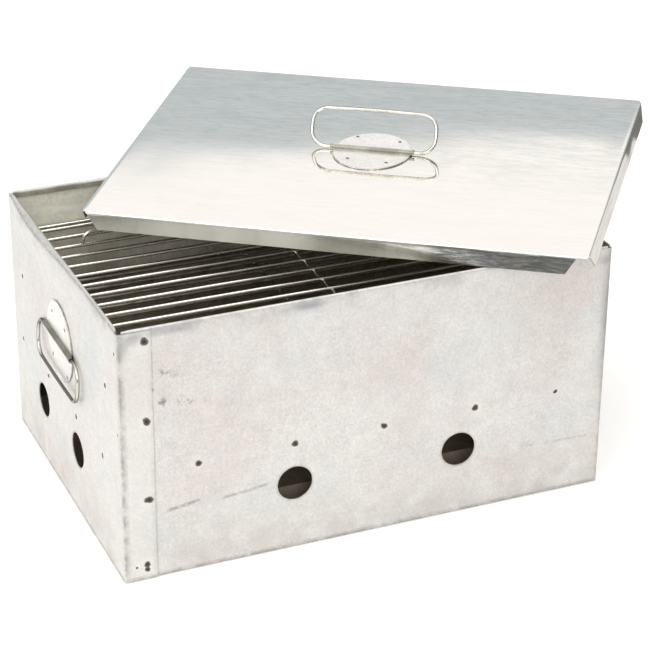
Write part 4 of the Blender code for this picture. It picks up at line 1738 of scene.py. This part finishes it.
# ---- Lid ----
@dataclass
class Lid:
    """Flat plate with four outward leaning flaps folded from one sheet, lying askew on the rim."""

    half_x: float = HALF_X
    half_y: float = HALF_Y
    sheet: float = SHEET
    depth: float = 0.0134
    flare: float = 0.0033
    mitre: float = 0.0135
    relief: float = 0.0035
    wide_relief: float = 0.0085
    bend: float = 0.0013
    centre: tuple[float, float, float] = (0.0802, 0.0492, 0.2314)
    yaw: float = math.radians(-38.1)
    tilt_x: float = math.radians(5.14)
    tilt_y: float = math.radians(-1.46)

    def matrix(self) -> Matrix:
        """Placement of the lid on the rim.

        Returns:
            The placement.
        """
        turn = Matrix.Rotation(self.yaw, 4, "Z") @ Matrix.Rotation(self.tilt_y, 4, "Y")
        turn = turn @ Matrix.Rotation(self.tilt_x, 4, "X")
        return Matrix.Translation(self.centre) @ turn

    def edge(self) -> tuple[Array, Array, Array]:
        """Section of a flap beyond the plate: outward distance, drop and share of the way down.

        Formula: an arc of the bend radius that is tangent to the plate, then a straight lean to the tip.

        Returns:
            The three rows.
        """
        lean = math.atan2(self.flare, self.depth)
        turn = math.pi / 2 - lean
        back = self.bend * math.tan(turn / 2)
        angle = np.linspace(0, turn, 7)[1:]
        out = self.bend * np.sin(angle) - back
        drop = self.bend * (1 - np.cos(angle))
        run = np.linspace(0, 1, 8)[1:]
        out = np.concatenate([out, out[-1] + (self.flare - out[-1]) * run])
        drop = np.concatenate([drop, drop[-1] + (self.depth - drop[-1]) * run])
        return out, drop, drop / self.depth

    def build(self, finishes: Sequence[Material]) -> Object:
        """The sheet as a cross-shaped grid, bent along its four edges.

        Args:
            finishes: the materials, in slot order.

        Returns:
            The closed piece.
        """
        out, drop, share = self.edge()
        back = self.bend * math.tan((math.pi / 2 - math.atan2(self.flare, self.depth)) / 2)
        count = len(out)

        def run(half: float) -> tuple[Array, Array, Array, Array]:
            """Stations across the sheet: place, drop, share down the flap and side (-1, 0 or 1).

            Args:
                half: half the sheet across.

            Returns:
                The four rows.
            """
            reliefs = [
                -half + self.wide_relief, -half + self.relief, half - self.wide_relief, half - self.relief
            ]
            marks = sorted([-half + back] + reliefs + [half - back])
            flat = steps(*marks, pitch=0.004)
            place = np.concatenate([-(half + out[::-1]), flat, half + out])
            fall = np.concatenate([drop[::-1], np.zeros(len(flat)), drop])
            down = np.concatenate([share[::-1], np.zeros(len(flat)), share])
            side = np.concatenate([-np.ones(count), np.zeros(len(flat)), np.ones(count)])
            return place, fall, down, side

        px, fx, sx, kx = run(self.half_x)
        py, fy, sy, ky = run(self.half_y)
        x, y = np.meshgrid(px, py, indexing="ij")
        cell_x, cell_y = (px[1:] + px[:-1]) / 2, (py[1:] + py[:-1]) / 2
        flap_x = (np.abs(kx[1:]) + np.abs(kx[:-1])) > 0
        flap_y = (np.abs(ky[1:]) + np.abs(ky[:-1])) > 0
        right_end = self.half_x - self.wide_relief
        reach_x = (cell_x > -self.half_x + self.relief) & (cell_x < self.half_x - self.relief)
        reach_front = (cell_x > -self.half_x + self.relief) & (cell_x < right_end)
        reach_y = np.abs(cell_y) < self.half_y - self.relief
        keep = ~flap_x[:, None] & ~flap_y[None]
        keep |= (flap_y & (cell_y > 0))[None] & (reach_x & ~flap_x)[:, None]
        keep |= (flap_y & (cell_y < 0))[None] & (reach_front & ~flap_x)[:, None]
        keep |= flap_x[:, None] & (reach_y & ~flap_y)[None]
        taper = self.mitre - self.relief
        narrow_y = (np.abs(y) / (self.half_y - self.relief)) ** 6 * sx[:, None] * taper
        narrow_x = (np.abs(x) / (self.half_x - self.relief)) ** 6 * sy[None] * taper
        x2 = x - np.sign(x) * np.where(sy[None] > 0, narrow_x, 0)
        y2 = y - np.sign(y) * np.where(sx[:, None] > 0, narrow_y, 0)
        z = -(fx[:, None] + fy[None])
        calm = 1 - np.exp(-((np.hypot(x, y - 0.0035) / 0.055) ** 2))
        to_edge = np.minimum(self.half_x - np.abs(x), self.half_y - np.abs(y))
        swell = ripple(x, y, 0.7, 0.33) * 0.00018 * calm * smooth(to_edge, 0.0, 0.03)
        dent = ripple(x, y, 3.1, 0.12) * 0.00025 * (sx[:, None] + sy[None])
        points = row(x2 + dent * np.sign(kx)[:, None], y2 + dent * np.sign(ky)[None], z + swell)
        surface = Surface.grid(points, keep=keep).moved(self.matrix())
        obj = surface.to_object("lid_sheet", finishes, closed=False)
        return give_thickness(obj, self.sheet, inside=1)


# ---- Handles ----
@dataclass
class Handle:
    """Disc with a rolled channel across it, and the oblong wire loop that turns in the channel."""

    name: str
    body: str
    loop_body: str
    centre: Vector
    along: Vector
    up: Vector
    out: Vector
    rise: Vector
    disc_r: float = 0.0325
    sheet: float = SHEET
    gap: float = GAP
    channel_half: float = 0.035
    channel_out: float = 0.0026
    axis_h: float = 0.0021
    wire_r: float = 0.00145
    half: float = 0.0517
    length: float = 0.0316
    corner: float = 0.0125
    welds: tuple = ((-0.0179, 0.0228), (0.0186, 0.0194), (-0.0164, -0.0170), (0.0161, -0.0189))

    def frame(self) -> Matrix:
        """Placement of the disc."""
        turn = Matrix((self.along, self.up, self.out)).transposed().to_4x4()
        return Matrix.Translation(self.centre) @ turn

    def plate(self, finishes: Sequence[Material]) -> Object:
        """The disc and channel.

        Formula: rows run across the channel by the section's own length; each row is as long as the
        disc's chord there, and the channel's rows run a little past the disc.

        Args:
            finishes: the materials, in slot order.

        Returns:
            The closed piece.
        """
        r, flat = self.channel_out, self.gap + self.sheet
        fillet = 0.0007
        beta = np.linspace(math.pi / 2, math.asin((r + fillet) / self.disc_r), 16)
        lower = row(-self.disc_r * np.sin(beta), flat)
        sweep = arc_angles(-90, 0, 3)[1:]
        foot = np.stack(
            [-(r + fillet) + fillet * np.cos(sweep), flat + fillet + fillet * np.sin(sweep)], -1
        )
        crown = arc_angles(180, 0, 14)
        roof = row(r * np.cos(crown), self.axis_h + r * np.sin(crown))
        section = np.concatenate([lower, foot, roof, (foot * [-1, 1])[::-1], (lower * [-1, 1])[::-1]])
        y, z = section[:, 0], section[:, 1]
        chord = np.sqrt(np.maximum(self.disc_r**2 - y**2, 0))
        reach = np.where(np.abs(y) <= r + 1e-6, self.channel_half, np.maximum(chord, 1e-5))
        share = np.sin(np.linspace(-1, 1, 33) * math.pi / 2)
        x = reach[:, None] * share[None]
        points = row(x, np.repeat(y[:, None], 33, 1), np.repeat(z[:, None], 33, 1))
        points[..., 2] += ripple(x, points[..., 1], 2.2, 0.06) * 0.00005
        edge = self.disc_r - np.hypot(x, points[..., 1])
        # Painted shade on the channel's front flank.
        shade = 0.95 * smooth(np.abs(points[..., 1] + 0.0019), 0.0018, 0.0010)
        # Painted dark hollow in the channel's open ends.
        ends = smooth(np.abs(x), self.channel_half - 0.0016, self.channel_half - 0.0008) * (
            np.abs(points[..., 1]) < r
        )
        shade = np.maximum(shade, ends * (points[..., 1] < 0.0004))
        # Painted shadow line round the disc's edge.
        marks = {"worn": 0.9 * np.exp(-((edge / 0.0007) ** 2)).T, "tucked": shade.T}
        surface = Surface.grid(points.transpose(1, 0, 2), marks=marks).moved(self.frame())
        obj = surface.to_object(self.name + "_disc", finishes, closed=False)
        return give_thickness(obj, self.sheet)

    def loop(self, finish: Material) -> Object:
        """The closed oblong wire; its corners are quarter ellipses.

        Args:
            finish: the material.

        Returns:
            The piece.
        """
        r, h, n = self.corner, self.half, self.length
        low = min(r, n / 2 - 0.001)
        q = 10

        def turn(cx: float, cy: float, start: float) -> Array:
            """One corner of the loop."""
            a = arc_angles(start, start + 90, q)
            return row(cx + r * np.cos(a), cy + low * np.sin(a))

        bottom = row(np.linspace(-h + r, h - r, 30)[1:-1], 0.0)
        top = row(np.linspace(h - r, -h + r, 30)[1:-1], n)
        right = [turn(h - r, low, -90), turn(h - r, n - low, 0)]
        left = [turn(-h + r, n - low, 90), turn(-h + r, low, 180)]
        plan = np.concatenate([bottom] + right + [top] + left)
        plan = plan[np.concatenate([[True], np.linalg.norm(np.diff(plan, axis=0), axis=1) > 1e-6])]
        sag = 0.0003 * np.cos(plan[:, 0] / h * math.pi) * (plan[:, 1] > n * 0.9)
        axis = np.array(self.centre + self.out * self.axis_h)
        rise = (plan[:, 1:] + sag[:, None]) * np.array(self.rise)
        path = axis + plan[:, :1] * np.array(self.along) + rise
        surface = wire(path, self.wire_r, self.along.cross(self.rise), sides=16, closed=True)
        return settle(surface.to_object(self.name + "_wire", [finish], closed=True))

    def marks(self, finish: Material, seed: int) -> Object:
        """Small weld marks on the disc.

        Args:
            finish: the material.
            seed: start of the random draws.

        Returns:
            The piece.
        """
        parts, along, out = [], np.array(self.along), np.array(self.out)
        for i, (u, v) in enumerate(self.welds):
            place = self.centre + self.along * u + self.up * v + self.out * (
                self.gap + self.sheet + 0.00003
            )
            parts.append(crater(np.array(place), along, out, 0.0017, 1.05, i * 1.1, seed + i))
        return settle(Surface.joined(parts).to_object(self.name + "_weld_marks", [finish], closed=False))


# ---- Studio ----
@dataclass
class Studio:
    """Pale floor, soft light and the camera, which is turned by three angles in degrees."""

    eye: tuple[float, float, float] = (-0.62195, -1.49555, 0.91967)
    turn: tuple[float, float, float] = (63.5526, -0.4485, -22.9946)
    lens: float = 124.56
    floor_half: float = 1.05

    def camera(self) -> None:
        """Camera at the measured place and lens."""
        data = bpy.data.cameras.new("camera")
        data.lens, data.sensor_width = self.lens, 36.0
        data.clip_start, data.clip_end = 0.05, 50.0
        cam = bpy.data.objects.new("camera", data)
        turn = Euler([math.radians(angle) for angle in self.turn]).to_matrix().to_4x4()
        cam.matrix_world = Matrix.Translation(self.eye) @ turn
        bpy.context.scene.collection.objects.link(cam)
        bpy.context.scene.camera = cam

    def floor(self) -> None:
        """A plain pale table top."""
        run = np.linspace(-1, 1, 21)
        x, y = np.meshgrid(run * self.floor_half, run * self.floor_half, indexing="ij")
        surface = Surface.grid(row(x, y, -0.0004))
        made = bpy.data.materials.new("pale_floor")
        made.use_nodes = True
        shader = made.node_tree.nodes["Principled BSDF"]
        shader.inputs["Base Color"].default_value = (0.90, 0.90, 0.895, 1)
        shader.inputs["Roughness"].default_value = 0.9
        shader.inputs["Specular IOR Level"].default_value = 0.1
        shader.inputs["Emission Color"].default_value = (1, 1, 1, 1)
        shader.inputs["Emission Strength"].default_value = 0.15
        surface.to_object("floor", [made], closed=False)

    def world(self) -> None:
        """Soft surroundings: a white ceiling, grey-blue walls, a white left side and a darker ground."""
        world = bpy.data.worlds.new("studio")
        bpy.context.scene.world = world
        world.use_nodes = True
        tree = world.node_tree
        tree.nodes.clear()
        g = Graph(tree)
        way = g.node("ShaderNodeTexCoord").outputs["Generated"]
        x, y, z = g.axes(way)
        front = g.mix(g.spread(z, 0.45, 0.62), (0.42, 0.415, 0.40), (1.55, 1.54, 1.52))
        wall = g.mix(g.spread(y, -0.5, 0.3), front, (0.595, 0.64, 0.655))
        wall = g.mix(g.spread(x, -0.45, -0.8), wall, (1.25, 1.24, 1.22))
        edge = g.minus(z, g.times(g.math("MAXIMUM", g.minus(x, 0.2), 0.0), 0.055))
        sky = g.mix(g.spread(edge, 0.5062, 0.5122), wall, (1.09, 1.06, 1.03))
        sky = g.mix(g.spread(z, 0.80, 0.96), sky, (0.84, 0.83, 0.82))
        ground = g.mix(g.spread(z, 0.02, -0.06), sky, (0.30, 0.298, 0.275))
        seen = g.node("ShaderNodeLightPath").outputs["Is Camera Ray"]
        colour = g.mix(seen, ground, (1.0, 1.0, 1.0))
        shade = g.node("ShaderNodeBackground")
        g.put(shade.inputs["Color"], colour)
        out = g.node("ShaderNodeOutputWorld")
        g.put(out.inputs["Surface"], shade.outputs[0])

    def lamp(
        self, name: str, place: Sequence[float], target: Sequence[float], size: float, power: float
    ) -> None:
        """A square soft lamp that faces its target.

        Args:
            name: the piece's name.
            place: where it stands.
            target: where it points.
            size: side of the lamp.
            power: watts.
        """
        data = bpy.data.lights.new(name, "AREA")
        data.size, data.energy = size, power
        lamp = bpy.data.objects.new(name, data)
        lamp.location = place
        lamp.rotation_euler = (Vector(target) - Vector(place)).to_track_quat("-Z", "Y").to_euler()
        bpy.context.scene.collection.objects.link(lamp)

    def build(self) -> None:
        """Everything around the object."""
        self.camera()
        self.floor()
        self.world()
        self.lamp("left_soft", (-1.9, -0.7, 1.5), (0, 0, 0.1), 1.6, 16.0)
        self.lamp("top_soft", (0.1, -0.2, 2.4), (0, 0, 0.1), 2.0, 18.0)
        self.lamp("front_soft", (-0.7, -2.3, 1.25), (0, 0, 0.1), 0.9, 15.0)
        scene = bpy.context.scene
        scene.view_settings.view_transform = "Standard"
        scene.view_settings.look = "None"


# ---- Assembly ----
@dataclass
class SmokerBox:
    """Builds every piece and ties it to its body."""

    welds: list[Weld] = field(default_factory=list)

    def put(self, obj: Object, body: str, nodes: Sequence[str], slot: str) -> Object:
        """Ride on a body and stand for CAD nodes.

        Args:
            obj: the piece.
            body: the body it rides on.
            nodes: the CAD nodes that it stands for.
            slot: not used.

        Returns:
            The same piece.
        """
        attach(obj, body)
        if nodes:
            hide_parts(*nodes)
        LOG.info("%s: %d faces on %s", obj.name, len(obj.data.polygons), body)
        return obj

    def shell(self) -> None:
        """Both wall sheets and their weld marks."""
        w = self.welds
        for x, r in ((-0.140, 0.0024), (-0.063, 0.0025), (0.010, 0.0024), (0.087, 0.0025), (0.157, 0.0016)):
            w.append(Weld(Wall.FRONT, x, 0.090, r, 1.08, 0.7))
            w.append(Weld(Wall.BACK, -x, 0.090, r, 1.08, 0.7))
        for y, z, r in (
            (0.115, 0.086, 0.0017), (0.044, 0.086, 0.0019), (-0.029, 0.086, 0.0021), (
                -0.094, 0.086, 0.0019
            ),
            (0.107, 0.146, 0.0018), (-0.107, 0.1515, 0.0021), (-0.132, 0.189, 0.0013), (
                -0.1345, 0.124, 0.0010
            ),
        ):
            w.append(Weld(Wall.LEFT, y, z, r, 0.9, 0.0))
            w.append(Weld(Wall.RIGHT, -y, z, r, 0.9, 0.0))
        for x, z, r in (
            (-0.1795, 0.1984, 0.0030), (-0.1795, 0.1337, 0.0029), (-0.1795, 0.0682, 0.0029),
            (-0.1822, 0.0130, 0.0023), (-0.1822, 0.0088, 0.0020), (-0.1905, 0.0118, 0.0009),
        ):
            w.append(Weld(Wall.FRONT, x, z, r, 1.1, 0.6))
            w.append(Weld(Wall.BACK, -x, z, r, 1.1, 0.6))
        front = (
            (-0.168, 0.0545, -0.138, 0.0590, 0.0022, 0.36, 0.75),
            (-0.124, 0.0558, -0.083, 0.0605, 0.0020, 0.32, 0.55),
            (0.126, 0.0470, 0.199, 0.0440, 0.0016, 0.42, 0.40),
            (0.100, 0.1900, 0.130, 0.1885, 0.0028, 0.50, 0.45),
            (-0.172, 0.1710, -0.146, 0.1690, 0.0050, 0.50, 0.85),
            (-0.172, 0.1480, -0.140, 0.1420, 0.0060, 0.51, 0.85),
            (-0.1735, 0.160, -0.1732, 0.150, 0.0016, 0.40, 0.80),
            # Painted shadow line beside the lap flange's edge.
            (-0.1741, -0.03, -0.1741, 0.238, 0.0012, 0.30, 0.38),
        )
        back = (
            # Painted shadow line beside the lap flange's edge.
            (0.1741, -0.03, 0.1741, 0.238, 0.0012, 0.30, 0.38),
            (0.110, 0.1500, 0.060, 0.1400, 0.0020, 0.42, 0.60),
        )
        creases_and_seam_shadows = tuple(
            ((x, y, z), (x_end, y, z_end), *rest)
            for y, marks in ((-HALF_Y, front), (HALF_Y, back))
            for x, z, x_end, z_end, *rest in marks
        )
        outside = ZincOutside("zinc_outside", 0.72, 0.50, 0.10, creases_and_seam_shadows=creases_and_seam_shadows).build()
        inside = ZincInside("zinc_inside", 0.20, 0.45, 0.12).build()
        burn = WeldBurn("weld_burn", 0.35, 0.62, 0.3).build()
        for name, flip in (("front_right", 1), ("back_left", -1)):
            sheet = ShellSheet(name + "_sheet", flip)
            self.put(sheet.build(w, [outside, inside]), "box", ["shell_" + name], "shell_" + name)
        parts = []
        for i, weld in enumerate(w):
            along, out = (np.array(v) for v in WALL_FACE[weld.wall][1:])
            place = weld_centre(weld) + out * 0.00005
            turn = weld.turn + i * 0.4
            parts.append(crater(place, along, out, weld.radius * 1.18, weld.stretch, turn, 40 + i))
        marks = settle(Surface.joined(parts).to_object("wall_weld_marks", [burn], closed=False))
        self.put(marks, "box", [], "shell_front_right")

    def inner(self) -> None:
        """Bottom pan, ledges, brackets and trays."""
        sheets = InnerSheets()
        soot = Sooted(
            "sooted_steel", 0.10, 0.55, 0.2, base=srgb(224, 208, 186), soot=srgb(140, 122, 102), level=0.36
        ).build()
        tones = {"base": srgb(172, 166, 150), "soot": srgb(84, 74, 62)}
        fat = Sooted("fat_browned_steel", 0.60, 0.38, 0.2, level=0.42, **tones).build()
        smoked = ZincInside("smoked_zinc", 0.75, 0.42, 0.15, clear_at=0.22, dark_at=0.06).build()
        pan = sheets.pan("floor_pan", (0.1986, 0.1366), 0.018, 0.0, 0.0, [soot])
        self.put(pan, "box", ["bottom_pan"], "bottom_pan")
        for wall in Wall:
            name = "ledge_" + wall.value
            self.put(sheets.ledge("angle_" + wall.value, wall, [smoked]), "box", [name], name)
        for side, side_name in ((-1, "left"), (1, "right")):
            for end, end_name in ((-1, "front"), (1, "back")):
                name = f"bracket_{side_name}_{end_name}"
                piece = sheets.bracket(f"rest_{side_name}_{end_name}", side, end * BRACKET_Y, [smoked])
                self.put(piece, "box", [name], name)
        drip = sheets.pan("drip_pan_pressed", (0.1815, 0.120), 0.014, 0.0983, 0.003, [fat])
        self.put(drip, "drip_pan", ["drip_tray"], "drip_tray")
        ember = sheets.pan("ember_pan_pressed", (0.150, 0.095), 0.026, 0.0011, 0.003, [soot])
        self.put(ember, "ember_pan", ["ember_tray"], "ember_tray")

    def racks(self) -> None:
        """Both racks and the bows on the upper one."""
        bright = Tinned("tinned_rod", 1.0, 0.20, 0.05, dulling=0.35).build()
        dull = Tinned(
            "smoked_rod", 1.0, 0.26, 0.08, base=srgb(206, 200, 188), dull=srgb(120, 108, 94), dulling=0.8
        ).build()
        upper = WireRack("upper_wire_rack", RACK_Z, 0.1958)
        self.put(upper.build(bright), "upper_rack", ["rack_upper"], "rack_upper")
        lower = WireRack("lower_wire_rack", 0.1245, 0.1895, seed=8)
        self.put(lower.build(dull), "lower_rack", ["rack_lower"], "rack_lower")
        rows = upper.rows()
        for name, x, y in (("rack_bow_left", -0.102, rows[12]), ("rack_bow_right", 0.102, rows[2])):
            bow = RackBow(name.replace("rack_bow", "lifting_bow"), x, y)
            self.put(bow.build(bright), "upper_rack", [name], name)

    def lid_and_handles(self) -> None:
        """Lid, its handle and the two side handles."""
        lid = Lid()
        base = lid.matrix()
        top = BrightLid("bright_lid", 1.0, 0.05, 0.016, to_local=base.inverted()).build()
        under = ZincInside(
            "lid_underside", 0.85, 0.34, 0.12, clear_at=0.10, dark_at=0.30, smoke=srgb(96, 84, 68)
        ).build()
        self.put(lid.build([top, under]), "lid", ["lid_pan"], "lid_pan")
        # Tuck tones here are painted shade for the handle channels; the rim height is set far away so no
        # band shows under it.
        shared = {"tuck_shade_low": srgb(118, 115, 104), "tuck_shade_high": srgb(146, 143, 132), "rim": 9.0}
        satin = ZincOutside(
            "satin_disc", 0.85, 0.34, 0.015, base=srgb(224, 221, 216), warm=srgb(216, 210, 205),
            cool=srgb(206, 209, 208), grain=0.3, **shared,
        ).build()
        pale = ZincOutside(
            "pale_disc", 0.80, 0.36, 0.01, base=srgb(243, 240, 236), warm=srgb(240, 234, 230),
            cool=srgb(232, 235, 234), grain=0.2, **shared,
        ).build()
        wire_finish = Tinned("bright_wire", 1.0, 0.12, 0.04, base=srgb(204, 202, 194), dulling=0.6).build()
        tones = {"core": srgb(84, 80, 76), "rim": srgb(132, 128, 122), "skin": srgb(214, 211, 206)}
        burn = WeldBurn("small_weld", 0.5, 0.5, 0.2, **tones).build()
        turn = base.to_3x3()
        along, back, out = turn @ Vector((1, 0, 0)), turn @ Vector((0, 1, 0)), turn @ Vector((0, 0, 1))
        lean = math.radians(29.7)
        rise = out * math.cos(lean) + back * math.sin(lean)
        fixing = base @ Vector((0, 0.0035, 0))
        handles = [Handle("lid_handle", "lid", "lid_loop", fixing, along, back, out, rise)]
        hang = math.radians(4.0)
        for side, name in ((-1, "left"), (1, "right")):
            outward, run = Vector((side, 0, 0)), Vector((0, -side, 0))
            fixing = Vector((side * HALF_X, HANDLE_Y, HANDLE_Z))
            fall = Vector((0, 0, -1)) * math.cos(hang) + outward * math.sin(hang)
            handles.append(
                Handle(
                    f"{name}_handle", "box", f"{name}_loop", fixing, run, outward.cross(run), outward, fall
                )
            )
        for i, handle in enumerate(handles):
            plate = handle.name + "_plate"
            loop = handle.name + "_loop"
            piece = handle.plate([pale if handle.body == "lid" else satin])
            self.put(piece, handle.body, [plate], plate)
            self.put(handle.loop(wire_finish), handle.loop_body, [loop], loop)
            self.put(handle.marks(burn, 500 + 10 * i), handle.body, [], plate)

    def build(self) -> None:
        """Every piece, in order."""
        self.shell()
        self.inner()
        self.racks()
        self.lid_and_handles()


def corners(box: tuple[Vector, Vector]) -> list[list[float]]:
    """A box as plain lists."""
    return [[float(v) for v in corner] for corner in box]


def main() -> None:
    """Build the object and the studio."""
    logging.basicConfig(level=logging.INFO, format="%(message)s")
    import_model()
    SmokerBox().build()
    Studio().build()


if __name__ == "__main__":
    main()
